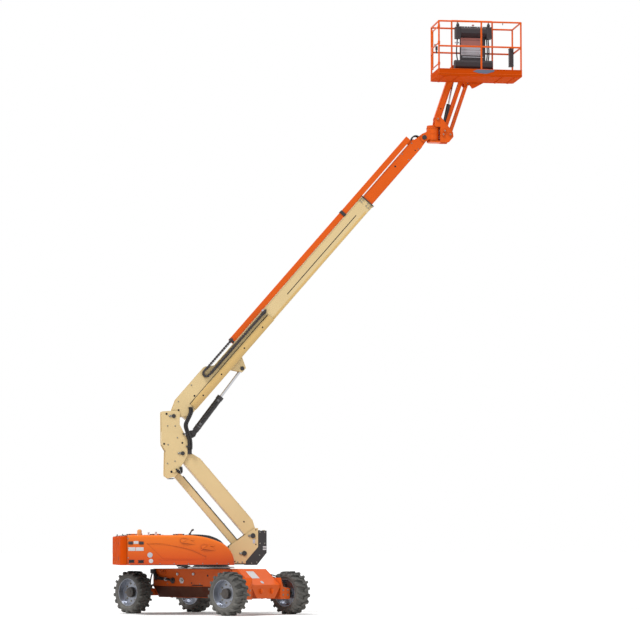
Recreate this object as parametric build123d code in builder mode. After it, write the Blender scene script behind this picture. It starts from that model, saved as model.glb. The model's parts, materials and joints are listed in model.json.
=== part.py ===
"""Articulating boom lift: two-wheel-drive chassis, slewing turntable, tower, telescopic boom, jib and platform."""
import math
import os

from build123d import *

os.makedirs("parts", exist_ok=True)

# Frame: X along the booms toward the platform, Z up, the origin under the middle of the whole machine
swing_x = -2270.0         # where the turntable's swing axis stands
chassis_yaw = -51.7       # how far the chassis is slewed from the booms, degrees

# Running gear
wheel_base = 2900.0
track = 1840.0
tyre_radius = 457.0
tyre_width = 350.0
rim_radius = 292.0
flange_radius = 312.0
dish_depth = 120.0        # from the rim's outer edge in to its disc
hub_radius = 112.0
spindle_radius = 42.0
spindle_play = 0.05
spindle_end = track / 2 + tyre_width / 2 - 22 - dish_depth + 50      # from the centre line, inside the hub's cap
kingpin_offset = 690.0    # each kingpin's distance from the chassis centre line
kingpin_radius = 26.0
steer_arm = -170.0        # the steering arms reach behind the kingpins
tie_rod_radius = 16.0

# Chassis box and axles
chassis_top = 960.0
chassis_half_width = 430.0
chassis_rear = 110 - wheel_base / 2
chassis_front = wheel_base / 2 + 190
chassis_nose = wheel_base / 2 - 240      # where the top starts to slope down to the front
axle_end = track / 2 - 220               # the drive axle's flanges, from the centre line
flange_length = 70.0
side_bottom = 590.0
belly = 350.0
belly_half_width = 260.0
axle_beam = 150.0
saddle_bottom = tyre_radius + axle_beam / 2 + 60      # where the chassis sits on the steer axle's pad

# Turntable
ring_radius = 400.0
ring_top = 1005.0
deck_bottom = 1050.0
deck_thick = 26.0
deck_half_width = 1085.0
hood_bottom = 1045.0
hood_half_width = 1150.0
hood_wall = 12.0
hood_top = 1675.0
tail_x = -2030.0
hood_rear = -1885.0
hood_front = 372.0
well_half_width = 330.0   # half the open slot between the hoods
well_wall = 12.0

# Pins, as (x from the swing axis, z)
tower_foot = (878.0, 1665.0)
tower_length = 2315.0
tower_angle = 130.8
link_drop = (-185.0, -375.0)      # from each tower pin to the link pin beside it
boom_rise = (-194.3, 794.6)         # from the tower arm's upper pin to the boom's pin
boom_angle = 49.1
lift_rise = (239.7, 432.6)          # and to the lift cylinder's lower pin
lug_along = 1750.0                # the lift cylinder's upper pin, along and below the boom's pivot line
lug_below = 440.0
lift_tube = 68.0                  # its barrel's radius

# Widths across the booms
cheek_inner = 155.0       # the upright's and base's plates lie outside the arms
cheek_thick = 22.0
pin_radius = 38.0
pin_play = 0.05
tower_half_width = 142.0
tower_above = 118.0
tower_below = 215.0
link_size = 140.0

# Main boom, along and above its pivot line
base_end = 6310.0
base_top = 55.0
base_bottom = -265.0
base_half_width = 130.0
base_wall = 9.0
fly_rear = 2400.0
fly_end = 8010.0
fly_top = 34.0
fly_bottom = -228.0
fly_half_width = 105.0
fly_wall = 8.0
push_rear = 2020.0
push_end = 7950.0
push_bottom = 62.0
push_top = 185.0
tip_along = 8200.0        # the nose pin
tip_below = 126.0

# Nose, jib and platform
slew_reach = 205.9         # from the nose pin out to the jib's swing axis
slew_drop = 57.5           # and down to the foot of its housing
slew_height = 290.0
slew_radius = 138.0
jib_step = (89.0, 470.0)                # from the housing's foot to the jib arm's lower pin
jib_cylinder_step = (209.0, 130.0)      # and to the jib cylinder's lower pin
jib_angle = 71.2
jib_length = 1200.0
bar_offset = (155.0, -260.0)      # from the jib arm's pins to the lower bars' pins
rod_offset = (275.0, -340.0)      # and to the levelling rods' pins
jib_eye_along = 1060.0
jib_eye_below = 60.0
rotator_step = (443.3, -296.0)    # from the jib arm's upper pin to the foot of the rotator
rotator_height = 320.0
rotator_radius = 110.0
platform_step = (-110.0, -60.0)   # from the rotator's foot to the platform's middle and underside
platform_y = -806.0
platform_length = 1836.0
platform_width = 913.0
platform_height = 1200.0
rail_radius = 19.0
toe_height = 150.0
floor_thick = 40.0


def polar(start, angle, reach):
    """The point that lies reach away from start, at an angle above level."""
    turn = math.radians(angle)
    return (start[0] + reach * math.cos(turn), start[1] + reach * math.sin(turn))


def shifted(start, step):
    return (start[0] + step[0], start[1] + step[1])


def side_plane(y=0.0):
    """Upright plane along the booms: local x runs from the swing axis, local y is height."""
    return Plane(origin=(swing_x, y, 0), x_dir=(1, 0, 0), z_dir=(0, -1, 0))


def arm_plane(start, angle, y=0.0):
    """Upright plane with local x along an arm that starts at a pin."""
    turn = math.radians(angle)
    return Plane(origin=(swing_x + start[0], y, start[1]), x_dir=(math.cos(turn), 0, math.sin(turn)), z_dir=(0, -1, 0))


def level_plane(x, y, z):
    return Plane(origin=(swing_x + x, y, z), x_dir=(1, 0, 0), z_dir=(0, 0, 1))


def chassis_plane(x, y, z, facing="up"):
    """A plane in the slewed chassis: x toward the drive axle, y to its left."""
    turn = math.radians(chassis_yaw)
    ahead = Vector(math.cos(turn), math.sin(turn), 0)
    left = Vector(-math.sin(turn), math.cos(turn), 0)
    origin = Vector(swing_x, 0, z) + ahead * x + left * y
    if facing == "up":
        return Plane(origin=origin, x_dir=ahead, z_dir=(0, 0, 1))
    if facing == "side":
        return Plane(origin=origin, x_dir=ahead, z_dir=left * -1)
    return Plane(origin=origin, x_dir=left, z_dir=ahead)


def from_arm(start, angle, along, across):
    """The point so far along an arm from its pin, and so far across it on its upper side."""
    return polar(polar(start, angle, along), angle + 90, across)


def stepped(point, step):
    """A point moved by a step, to a tenth of a millimetre."""
    return (round(point[0] + step[0], 1), round(point[1] + step[1], 1))


def near_head(*steps):
    """Points given by their steps from the tower arm's upper pin."""
    return [stepped(tower_head, step) for step in steps]


def save(part, name):
    part.label = name
    export_step(part, f"parts/{name}.step")


# ---------------------------------------------------------------- pins that follow from the arms
link_foot = shifted(tower_foot, link_drop)
tower_head = polar(tower_foot, tower_angle, tower_length)
link_head = shifted(tower_head, link_drop)
boom_pivot = stepped(tower_head, boom_rise)
lift_foot = stepped(tower_head, lift_rise)
lug = from_arm(boom_pivot, boom_angle, lug_along, -lug_below)
tip = from_arm(boom_pivot, boom_angle, tip_along, -tip_below)
slew_axis, slew_bottom = stepped(tip, (slew_reach, -slew_drop))
slew_top = slew_bottom + slew_height
jib_foot = stepped((slew_axis, slew_bottom), jib_step)
jib_cylinder_foot = stepped((slew_axis, slew_bottom), jib_cylinder_step)
jib_head = polar(jib_foot, jib_angle, jib_length)
jib_eye = from_arm(jib_foot, jib_angle, jib_eye_along, -jib_eye_below)
rotator_x, rotator_bottom = stepped(jib_head, rotator_step)
rotator_top = rotator_bottom + rotator_height
platform_x, platform_bottom = stepped((rotator_x, rotator_bottom), platform_step)


# ---------------------------------------------------------------- chassis
with BuildPart() as chassis_frame:
    with BuildSketch(chassis_plane(chassis_rear, 0, 0, "end")):
        with BuildLine():
            Polyline(
                (-belly_half_width, belly), (belly_half_width, belly), (chassis_half_width, side_bottom),
                (chassis_half_width, chassis_top), (-chassis_half_width, chassis_top),
                (-chassis_half_width, side_bottom), close=True,
            )
        make_face()
    extrude(amount=chassis_front - chassis_rear)
    nose_drop = 330.0
    with BuildSketch(chassis_plane(0, 0, 0, "side")):
        Polygon(
            (chassis_nose, chassis_top + 1), (chassis_front + 1, chassis_top + 1),
            (chassis_front + 1, chassis_top - nose_drop), align=None,
        )
    extrude(amount=chassis_half_width + 1, both=True, mode=Mode.SUBTRACT)
    inner = 14.0
    with BuildSketch(chassis_plane(chassis_rear + inner, 0, 0, "end")):
        with BuildLine():
            Polyline(
                (-belly_half_width + inner, belly + inner), (belly_half_width - inner, belly + inner),
                (chassis_half_width - inner, side_bottom), (chassis_half_width - inner, chassis_top - inner),
                (-chassis_half_width + inner, chassis_top - inner),
                (-chassis_half_width + inner, side_bottom), close=True,
            )
        make_face()
    extrude(amount=chassis_nose - chassis_rear - 2 * inner, mode=Mode.SUBTRACT)
    with BuildSketch(chassis_plane(chassis_rear, 0, 0, "end")):
        with Locations((0, (saddle_bottom + 820) / 2)):
            Rectangle(300, 820 - saddle_bottom)
    extrude(amount=-220)
save(chassis_frame.part, "chassis_frame")

lash_x = 1000.0
lash_radius = 25.0
lash_thick = 20.0
with BuildPart() as lashing_eyes:
    for x, side in ((-lash_x, -1), (-lash_x, 1), (lash_x, -1), (lash_x, 1)):
        with BuildSketch(chassis_plane(x, side * (chassis_half_width + 0.3 + lash_thick / 2), 0, "side")):
            with Locations((0, chassis_top - 58)):
                Rectangle(90, 90)
            with Locations((0, chassis_top - 55)):
                Circle(lash_radius, mode=Mode.SUBTRACT)
        extrude(amount=lash_thick / 2, both=True)
save(lashing_eyes.part, "lashing_eyes")

with BuildPart() as drive_axle:
    housing_length = 420.0
    housing_bottom = 330.0
    housing_top = 555.0
    for side in (-1, 1):
        with BuildSketch(chassis_plane(wheel_base / 2 - housing_length / 2, 0, 0, "end")):
            with BuildLine():
                Polyline(
                    (side * chassis_half_width, housing_bottom), (side * axle_end, housing_bottom),
                    (side * axle_end, housing_top), (side * 500.0, housing_top + 30),
                    (side * chassis_half_width, 780.0), close=True,
                )
            make_face()
        extrude(amount=housing_length)
        with BuildSketch(chassis_plane(wheel_base / 2, side * axle_end, tyre_radius, "side")):
            Circle(80)
        extrude(amount=-side * flange_length)
        with BuildSketch(chassis_plane(wheel_base / 2, side * (axle_end + flange_length), tyre_radius, "side")):
            Circle(spindle_radius)
        extrude(amount=-side * (spindle_end - axle_end - flange_length))
save(drive_axle.part, "drive_axle")

with BuildPart() as steer_axle:
    with BuildSketch(chassis_plane(-wheel_base / 2, 0, tyre_radius, "end")):
        Rectangle(2 * 560, axle_beam)
    extrude(amount=axle_beam / 2, both=True)
    yoke_gap = 190.0
    yoke_thick = 34.0
    for side in (-1, 1):
        with BuildSketch(chassis_plane(-wheel_base / 2, side * 540, tyre_radius, "end")):
            Rectangle(44, yoke_gap + 2 * yoke_thick)
        extrude(amount=axle_beam / 2, both=True)
        for level in (-1, 1):
            height = tyre_radius + level * (yoke_gap / 2 + yoke_thick / 2)
            with BuildSketch(chassis_plane(-wheel_base / 2, side * 625, height)):
                Rectangle(130, 130)
                with Locations((0, side * (kingpin_offset - 625))):
                    Circle(65)
                    Circle(kingpin_radius + pin_play, mode=Mode.SUBTRACT)
            extrude(amount=yoke_thick / 2, both=True)
    with BuildSketch(chassis_plane(-wheel_base / 2, 0, tyre_radius + axle_beam / 2, "up")):
        Rectangle(axle_beam, 300)
    extrude(amount=60)
save(steer_axle.part, "steer_axle")

with BuildPart() as slew_ring:
    with BuildSketch(level_plane(0, 0, chassis_top)):
        Circle(ring_radius)
        Circle(ring_radius - 110, mode=Mode.SUBTRACT)
    extrude(amount=ring_top - chassis_top)
save(slew_ring.part, "slew_ring")

# ---------------------------------------------------------------- knuckles and wheels
for name, side in (("left", 1), ("right", -1)):
    with BuildPart() as knuckle:
        with BuildSketch(chassis_plane(-wheel_base / 2, side * kingpin_offset, tyre_radius)):
            Circle(58)
        extrude(amount=yoke_gap / 2 - 0.3, both=True)
        with BuildSketch(chassis_plane(-wheel_base / 2, side * kingpin_offset, tyre_radius)):
            Circle(kingpin_radius)
        extrude(amount=yoke_gap / 2 + yoke_thick + 12, both=True)
        with BuildSketch(chassis_plane(-wheel_base / 2, side * kingpin_offset, tyre_radius, "side")):
            Circle(spindle_radius)
        extrude(amount=-side * (spindle_end - kingpin_offset))
        with BuildSketch(chassis_plane(-wheel_base / 2, side * (kingpin_offset + 50), tyre_radius, "side")):
            Circle(75)
        extrude(amount=-side * 30)
        with BuildSketch(chassis_plane(-wheel_base / 2 + steer_arm / 2, side * kingpin_offset, tyre_radius)):
            Rectangle(abs(steer_arm), 50)
            with Locations((steer_arm / 2, 0)):
                Circle(34)
                Circle(tie_rod_radius + pin_play, mode=Mode.SUBTRACT)
        extrude(amount=14, both=True)
    save(knuckle.part, f"knuckle_{name}")

with BuildPart() as tie_rod:
    rod_height = tyre_radius - 14 - 24
    with BuildSketch(chassis_plane(-wheel_base / 2 + steer_arm, -kingpin_offset, rod_height, "side")):
        Circle(20)
    extrude(amount=-2 * kingpin_offset)
    for side in (-1, 1):
        with BuildSketch(chassis_plane(-wheel_base / 2 + steer_arm, side * kingpin_offset, rod_height - 23)):
            Circle(30)
        extrude(amount=23 + 23.7)
        with BuildSketch(chassis_plane(-wheel_base / 2 + steer_arm, side * kingpin_offset, rod_height)):
            Circle(tie_rod_radius)
        extrude(amount=60)
save(tie_rod.part, "tie_rod")

carcass_sides = 36
carcass_radius = 412.0
shoulder_radius = 385.0
shoulder = 25.0
lug_count = 36           # in two rows that take turns
lug_foot = 396.0         # sunk in the carcass
lug_half = 26.0          # half a lug's thickness
lug_lean = 26.0          # how far each of its ends leans round the tread
lug_overlap = 12.0       # past the middle of the tread
lug_proud = 4.0          # past the sidewall
lug_pitch = 2 * math.pi / lug_count
# a wheel stands on the nearest corners of the two lugs beside its lowest one
lug_top = (tyre_radius - (lug_half + lug_lean) * math.sin(lug_pitch)) / math.cos(lug_pitch)


def lug_plane(hub, place, side):
    """A plane on the foot of the lug so many pitches round the wheel, counted from where it stands."""
    turn = place * lug_pitch - math.pi / 2
    out = hub.x_dir * math.cos(turn) + Vector(0, 0, 1) * math.sin(turn)
    around = Vector(0, 0, 1) * math.cos(turn) - hub.x_dir * math.sin(turn)
    return Plane(origin=hub.origin + out * lug_foot, x_dir=around * side, z_dir=out)


wheels = (
    ("steer_left", -1, 1, spindle_radius),
    ("steer_right", -1, -1, spindle_radius),
    ("drive_left", 1, 1, spindle_radius),
    ("drive_right", 1, -1, spindle_radius),
)
for name, end, side, bore in wheels:
    middle = chassis_plane(end * wheel_base / 2, side * track / 2, tyre_radius, "end")
    spin = Axis(middle.origin, middle.x_dir)
    half = tyre_width / 2
    hub = chassis_plane(end * wheel_base / 2, side * track / 2, tyre_radius, "side")
    with BuildPart() as tyre:
        for low, high, start, stop in (
            (-half, shoulder - half, shoulder_radius, carcass_radius),
            (shoulder - half, half - shoulder, carcass_radius, carcass_radius),
            (half - shoulder, half, carcass_radius, shoulder_radius),
        ):
            with BuildSketch(hub.offset(low)):
                RegularPolygon(start, carcass_sides)
            with BuildSketch(hub.offset(high)):
                RegularPolygon(stop, carcass_sides)
            loft(ruled=True)
        for row in (-1, 1):
            with BuildSketch(*[lug_plane(hub, 2 * index + (row + 1) / 2, side) for index in range(lug_count // 2)]):
                Polygon(
                    (-lug_lean - lug_half, -row * lug_overlap), (lug_half - lug_lean, -row * lug_overlap),
                    (lug_lean + lug_half, row * (half + lug_proud)), (lug_lean - lug_half, row * (half + lug_proud)),
                    align=None,
                )
            extrude(amount=lug_top - lug_foot)
        with BuildSketch(hub.offset(-half - 10)):
            Circle(rim_radius)
        extrude(amount=tyre_width + 20, mode=Mode.SUBTRACT)
    save(tyre.part, f"tyre_{name}")
    with BuildPart() as rim:
        edge = half - 22
        wall = 12.0
        disc = edge - dish_depth
        with BuildSketch(middle):
            section = (
                (-edge, rim_radius), (edge, rim_radius), (edge, rim_radius - wall),
                (disc, rim_radius - wall - 12), (disc, hub_radius), (disc + 70, hub_radius - 14),
                (disc + 70, 0), (disc + 55, 0), (disc + 55, bore + spindle_play), (disc - 60, bore + spindle_play),
                (disc - 60, hub_radius - 6), (disc - 14, hub_radius - 6), (disc - 14, rim_radius - wall - 12),
                (-edge, rim_radius - wall),
            )
            with BuildLine():
                Polyline(*[(side * across, out) for across, out in section], close=True)
            make_face()
        revolve(axis=spin)
    save(rim.part, f"rim_{name}")

# ---------------------------------------------------------------- turntable
hood_curve = (
    # place and height of a point on the hood's outer skin, and which way the skin faces there
    (-600.0, hood_top, 0.0, 1.0),
    (-255.0, hood_top - 44, 0.23, 0.97),
    (60.0, hood_top - 143, 0.45, 0.89),
    (268.0, hood_top - 298, 0.79, 0.61),
    (hood_front, hood_bottom + 65, 1.0, 0.1),
)
hood_round = 55.0          # radius of the hood's outer upper edge


def hood_outline(set_in, rear, bottom):
    """Side view of a hood, drawn inside its outer skin by set_in."""
    skin = [(x - set_in * face_x, z - set_in * face_z) for x, z, face_x, face_z in hood_curve]
    with BuildLine() as outline:
        Polyline(skin[0], (rear, skin[0][1]), (rear, bottom), (skin[4][0], bottom), skin[4])
        ThreePointArc(skin[0], skin[1], skin[2])
        ThreePointArc(skin[2], skin[3], skin[4])
    return outline.line


hinge_radius = 9.0
hinge_z = hood_top + 14
hinge_y = well_half_width - 6
hinge_places = (-1700.0, -1200.0, -700.0)


def hinge_plane(x, side):
    return Plane(origin=(swing_x + x, side * hinge_y, hinge_z), x_dir=(0, 1, 0), z_dir=(1, 0, 0))


with BuildPart() as turntable_deck:
    with BuildSketch(level_plane(0, 0, deck_bottom)):
        with Locations(((hood_rear + hood_front) / 2, 0)):
            Rectangle(hood_front - hood_rear - 60, 2 * deck_half_width)
        with Locations((530, 0)):
            Rectangle(380, 2 * (cheek_inner + cheek_thick))
    extrude(amount=deck_thick)
    with BuildSketch(level_plane(0, 0, ring_top + 0.3)):
        Circle(ring_radius - 30)
    extrude(amount=deck_bottom - ring_top - 0.3)
    wall_y = well_half_width - 20 - well_wall / 2
    for side in (-1, 1):
        with BuildSketch(side_plane(side * wall_y)):
            Polygon(
                (hood_rear + 40, deck_bottom + deck_thick), (hood_rear + 40, 1600), (-560, 1600), (180, 1350),
                (320, deck_bottom + deck_thick), align=None,
            )
        extrude(amount=well_wall / 2, both=True)
        for x in hinge_places:
            with BuildSketch(hinge_plane(x, side)):
                Circle(hinge_radius)
            extrude(amount=90, both=True)
            for end in (-1, 1):
                with BuildSketch(hinge_plane(x + end * 75, side)):
                    Circle(hinge_radius + 4)
                    with Locations((-side * 8, -55)):
                        Rectangle(14, 110)
                extrude(amount=15, both=True)
save(turntable_deck.part, "turntable_deck")

with BuildPart() as counterweight:
    with BuildSketch(level_plane((tail_x + hood_rear - 10) / 2, 0, hood_bottom)):
        Rectangle(hood_rear - 10 - tail_x, 2 * hood_half_width)
    extrude(amount=hood_top - 25 - hood_bottom)
    fillet(counterweight.edges().filter_by(Axis.Z).sort_by(Axis.X)[:2], 90)
    fillet(counterweight.faces().sort_by(Axis.Z)[-1].edges().sort_by(Axis.X)[:-1], 28)
    with BuildSketch(level_plane(hood_rear - 10 + 145, 0, deck_bottom + deck_thick)):
        Rectangle(290, 2 * (well_half_width - 20 - well_wall) - 1)
    extrude(amount=60)
save(counterweight.part, "counterweight")

def upper_edges(body, y):
    """A hood's upper edges at y, without its upright ones."""
    level = body.edges().filter_by_position(Axis.Y, y - 1, y + 1)
    upper = level.filter_by(lambda edge: edge.center().Z > hood_bottom + 100)
    return upper.filter_by(lambda edge: abs(edge.tangent_at(0.5).Z) < 0.999)


swoosh = (
    # the sunk panel on the hood's side: upper rear, crown of its upper edge, front, lower front, lower rear
    (-1480.0, 1500.0), (-840.0, 1448.0), (-230.0, 1230.0), (-230.0, 1158.0), (-1120.0, 1158.0),
)
scoops = (
    # rear end, height and length of each bulge on the hood's side
    (-770.0, 1530.0, 330.0),
    (-330.0, 1400.0, 320.0),
)
scoop_proud = 24.0
for name, side in (("left", 1), ("right", -1)):
    wide = hood_half_width - well_half_width
    with BuildPart() as hollow:
        with BuildSketch(side_plane(side * (well_half_width - 1))):
            with BuildLine():
                add(hood_outline(hood_wall, hood_rear - 1, hood_bottom - 1))
            make_face()
        extrude(amount=-side * (wide - hood_wall + 1))
        fillet(upper_edges(hollow, side * (hood_half_width - hood_wall)), hood_round - hood_wall)
    with BuildPart() as hood:
        with BuildSketch(side_plane(side * well_half_width)):
            with BuildLine():
                add(hood_outline(0, hood_rear, hood_bottom))
            make_face()
        extrude(amount=-side * wide)
        fillet(upper_edges(hood, side * hood_half_width), hood_round)
        add(hollow.part, mode=Mode.SUBTRACT)
        with BuildSketch(side_plane(side * hood_half_width)):
            with BuildLine():
                ThreePointArc(swoosh[0], swoosh[1], swoosh[2])
                Polyline(swoosh[2], swoosh[3], swoosh[4], swoosh[0])
            make_face()
        extrude(amount=side * 6, mode=Mode.SUBTRACT)
        for x, z, length in scoops:
            with BuildSketch(side_plane(side * (hood_half_width - 4))):
                with BuildLine():
                    ThreePointArc((x + length, z - 60), (x + 0.45 * length, z + 52), (x + 40, z + 60))
                    ThreePointArc((x + 40, z + 60), (x, z + 30), (x + 20, z - 10))
                    Line((x + 20, z - 10), (x + length, z - 60))
                make_face()
            extrude(amount=-side * (scoop_proud + 4))
            with BuildSketch(level_plane(0, 0, z - 100)):
                Polygon(
                    (x + 60, side * (hood_half_width + scoop_proud)), (x + length + 1, side * hood_half_width),
                    (x + length + 1, side * (hood_half_width + scoop_proud)), align=None,
                )
            extrude(amount=200, mode=Mode.SUBTRACT)
        for x in hinge_places:
            with BuildSketch(hinge_plane(x, side)):
                Circle(hinge_radius + 7)
            extrude(amount=50, both=True)
            with BuildSketch(hinge_plane(x, side)):
                Circle(hinge_radius + pin_play)
            extrude(amount=51, both=True, mode=Mode.SUBTRACT)
    save(hood.part, f"hood_{name}")

with BuildPart() as beacon:
    with BuildSketch(level_plane(-1620, -1000, hood_top + 0.3)):
        Circle(60)
    extrude(amount=36)
    with BuildSketch(level_plane(-1620, -1000, hood_top + 36)):
        Circle(50)
    extrude(amount=84)
    fillet(beacon.edges().sort_by(Axis.Z)[-1], 40)
save(beacon.part, "beacon")

with BuildPart() as engine_block:
    with BuildSketch(level_plane(-1050, -680, deck_bottom + deck_thick)):
        Rectangle(900, 500)
    extrude(amount=440)
save(engine_block.part, "engine_block")

with BuildPart() as tank_block:
    with BuildSketch(level_plane(-1050, 700, deck_bottom + deck_thick)):
        with Locations((-380, 0), (420, 0)):
            Rectangle(640, 520)
    extrude(amount=400)
save(tank_block.part, "tank_block")

cheek_y = cheek_inner + cheek_thick / 2
with BuildPart() as tower_base:
    for side in (-1, 1):
        with BuildSketch(side_plane(side * cheek_y)):
            Polygon(
                (380, deck_bottom + deck_thick), (345, 1300), (371, 1446), (921, 1829), (988, 1829), (988, 1425),
                (725, 1123), (725, deck_bottom + deck_thick), align=None,
            )
        extrude(amount=cheek_thick / 2, both=True)
    for pin in (tower_foot, link_foot):
        with BuildSketch(side_plane()):
            with Locations(pin):
                Circle(pin_radius)
        extrude(amount=cheek_inner + cheek_thick + 14, both=True)
save(tower_base.part, "tower_base")

with BuildPart() as base_guard:
    with BuildSketch(side_plane()):
        Polygon(
            (988.3, 1773), (1172, 1773), (1172, 1298), (966, 1040), (725.3, 1040), (725.3, 1122), (988.3, 1424), align=None,
        )
    extrude(amount=cheek_inner + cheek_thick, both=True)
    with BuildSketch(side_plane()):
        Polygon(
            (988, 1765), (1164, 1765), (1164, 1301), (962, 1048), (725, 1048), (725, 1110), (988, 1412), align=None,
        )
    extrude(amount=cheek_inner + cheek_thick - 8, both=True, mode=Mode.SUBTRACT)
save(base_guard.part, "base_guard")

# ---------------------------------------------------------------- tower
with BuildPart() as tower_arm:
    with BuildSketch(arm_plane(tower_foot, tower_angle)):
        with BuildLine():
            Polyline(
                (-80, -70), (-80, 60), (40, tower_above), (tower_length - 60, tower_above), (tower_length + 80, 60),
                (tower_length + 80, -80), (tower_length - 190, -170), (tower_length - 330, -tower_below),
                (260, -tower_below), close=True,
            )
        make_face()
    extrude(amount=tower_half_width, both=True)
    with BuildSketch(arm_plane(tower_foot, tower_angle)):
        with Locations((tower_length / 2, (tower_above - tower_below) / 2)):
            Rectangle(tower_length - 700, tower_above + tower_below - 20)
    extrude(amount=tower_half_width - 10, both=True, mode=Mode.SUBTRACT)
    with BuildSketch(arm_plane(tower_foot, tower_angle)):
        with Locations((0, 0), (tower_length, 0)):
            Circle(pin_radius + pin_play)
    extrude(amount=tower_half_width + 1, both=True, mode=Mode.SUBTRACT)
save(tower_arm.part, "tower_arm")

with BuildPart() as tower_link:
    with BuildSketch(arm_plane(link_foot, tower_angle)):
        with Locations((tower_length / 2, 0)):
            Rectangle(tower_length, link_size)
        with Locations((0, 0), (tower_length, 0)):
            Circle(link_size / 2)
    extrude(amount=link_size / 2, both=True)
    with BuildSketch(arm_plane(link_foot, tower_angle)):
        with Locations((tower_length / 2, 0)):
            Rectangle(tower_length - 260, link_size - 16)
    extrude(amount=link_size / 2 - 8, both=True, mode=Mode.SUBTRACT)
    with BuildSketch(arm_plane(link_foot, tower_angle)):
        with Locations((0, 0), (tower_length, 0)):
            Circle(pin_radius + pin_play)
    extrude(amount=link_size, both=True, mode=Mode.SUBTRACT)
save(tower_link.part, "tower_link")

upright_outline = near_head(
    (-453.3, 892.6), (-444.3, 174.6), (-369.3, 51.6), (-379.3, -478.4), (-304.3, -531.4), (-168.3, -505.4),
    (-120.3, -450.4), (101.7, -42.4), (101.7, 283.6), (-65.3, 611.6), (-65.3, 872.6), (-125.3, 912.6),
)
with BuildPart() as upright:
    for side in (-1, 1):
        with BuildSketch(side_plane(side * cheek_y)):
            Polygon(*upright_outline, align=None)
        extrude(amount=cheek_thick / 2, both=True)
    for pin in (boom_pivot, tower_head, link_head):
        with BuildSketch(side_plane()):
            with Locations(pin):
                Circle(pin_radius)
        extrude(amount=cheek_inner + cheek_thick + 14, both=True)
    with BuildSketch(side_plane()):
        Polygon(*near_head((-440.3, 462.6), (-431.3, 182.6), (-415.3, 182.6), (-423.3, 462.6)), align=None)
    extrude(amount=cheek_inner, both=True)
save(upright.part, "upright")

with BuildPart() as cylinder_bracket:
    with BuildSketch(side_plane()):
        Polygon(
            *near_head((102, 187.6), (102, 283.6), (60.7, 367.6), (164.7, 367.6), (194.7, 322.6), (194.7, 187.6)),
            align=None,
        )
    extrude(amount=cheek_inner + cheek_thick, both=True)
    for side in (-1, 1):
        with BuildSketch(side_plane(side * cheek_y)):
            Polygon(*near_head((102, -17.4), (102, 188.6), (194.7, 188.6), (194.7, -17.4)), align=None)
        extrude(amount=cheek_thick / 2, both=True)
    for side in (-1, 1):
        with BuildSketch(side_plane(side * 75)):
            Polygon(
                *near_head(
                    (60.7, 367.6), (164.7, 492.6), (264.7, 497.6), (304.7, 432.6), (274.7, 362.6), (194.7, 322.6),
                ),
                align=None,
            )
        extrude(amount=15, both=True)
    with BuildSketch(side_plane()):
        with Locations(lift_foot):
            Circle(pin_radius)
    extrude(amount=105, both=True)
save(cylinder_bracket.part, "cylinder_bracket")

# ---------------------------------------------------------------- main boom
with BuildPart() as boom_base:
    middle = (base_top + base_bottom) / 2
    depth = base_top - base_bottom
    with BuildSketch(arm_plane(boom_pivot, boom_angle)):
        with Locations(((120 + base_end) / 2, middle)):
            Rectangle(base_end - 120, depth)
    extrude(amount=base_half_width, both=True)
    with BuildSketch(arm_plane(boom_pivot, boom_angle)):
        with Locations(((400 + base_end + 100) / 2, middle)):
            Rectangle(base_end + 100 - 400, depth - 2 * base_wall)
    extrude(amount=base_half_width - base_wall, both=True, mode=Mode.SUBTRACT)
    for side in (-1, 1):
        with BuildSketch(arm_plane(boom_pivot, boom_angle, side * (base_half_width + 8))):
            Polygon(
                (-70, -70), (-75, 40), (-10, 80), (300, 197), (1240, 197), (1400, base_top), (1400, base_bottom),
                (260, base_bottom), (80, -120), align=None,
            )
        extrude(amount=8, both=True)
        with BuildSketch(arm_plane(boom_pivot, boom_angle, side * (base_half_width + 26))):
            Polygon((420, -190), (420, -272), (2990, -272), (2990, -150), (2800, -95), (560, -95), align=None)
        extrude(amount=10, both=True)
        with BuildSketch(arm_plane(boom_pivot, boom_angle, side * (base_half_width + 36))):
            with Locations((1700, -150), (1700, -215)):
                Rectangle(2150, 16)
        extrude(amount=5, both=True, mode=Mode.SUBTRACT)
        with BuildSketch(arm_plane(boom_pivot, boom_angle, side * (lift_tube + 20))):
            Polygon(
                (lug_along - 190, base_bottom + 1), (lug_along - 60, -lug_below - 55), (lug_along + 60, -lug_below - 55),
                (lug_along + 190, base_bottom + 1), align=None,
            )
        extrude(amount=10, both=True)
    with BuildSketch(arm_plane(boom_pivot, boom_angle)):
        Circle(85)
    extrude(amount=base_half_width, both=True)
    with BuildSketch(arm_plane(boom_pivot, boom_angle)):
        Circle(pin_radius + pin_play)
    extrude(amount=200, both=True, mode=Mode.SUBTRACT)
    with BuildSketch(arm_plane(boom_pivot, boom_angle)):
        with Locations((base_end - 70, middle)):
            Rectangle(140, depth + 10)
            Rectangle(142, depth - 10, mode=Mode.SUBTRACT)
    extrude(amount=base_half_width + 12, both=True)
    with BuildSketch(arm_plane(boom_pivot, boom_angle)):
        with Locations((base_end - 80, (base_top - base_wall + fly_top + 0.3) / 2)):
            Rectangle(120, base_top - base_wall - fly_top - 0.3)
        with Locations((base_end - 80, (base_bottom + base_wall + fly_bottom - 0.3) / 2)):
            Rectangle(120, fly_bottom - 0.3 - base_bottom - base_wall)
    extrude(amount=base_half_width - base_wall, both=True)
save(boom_base.part, "boom_base")

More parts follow.
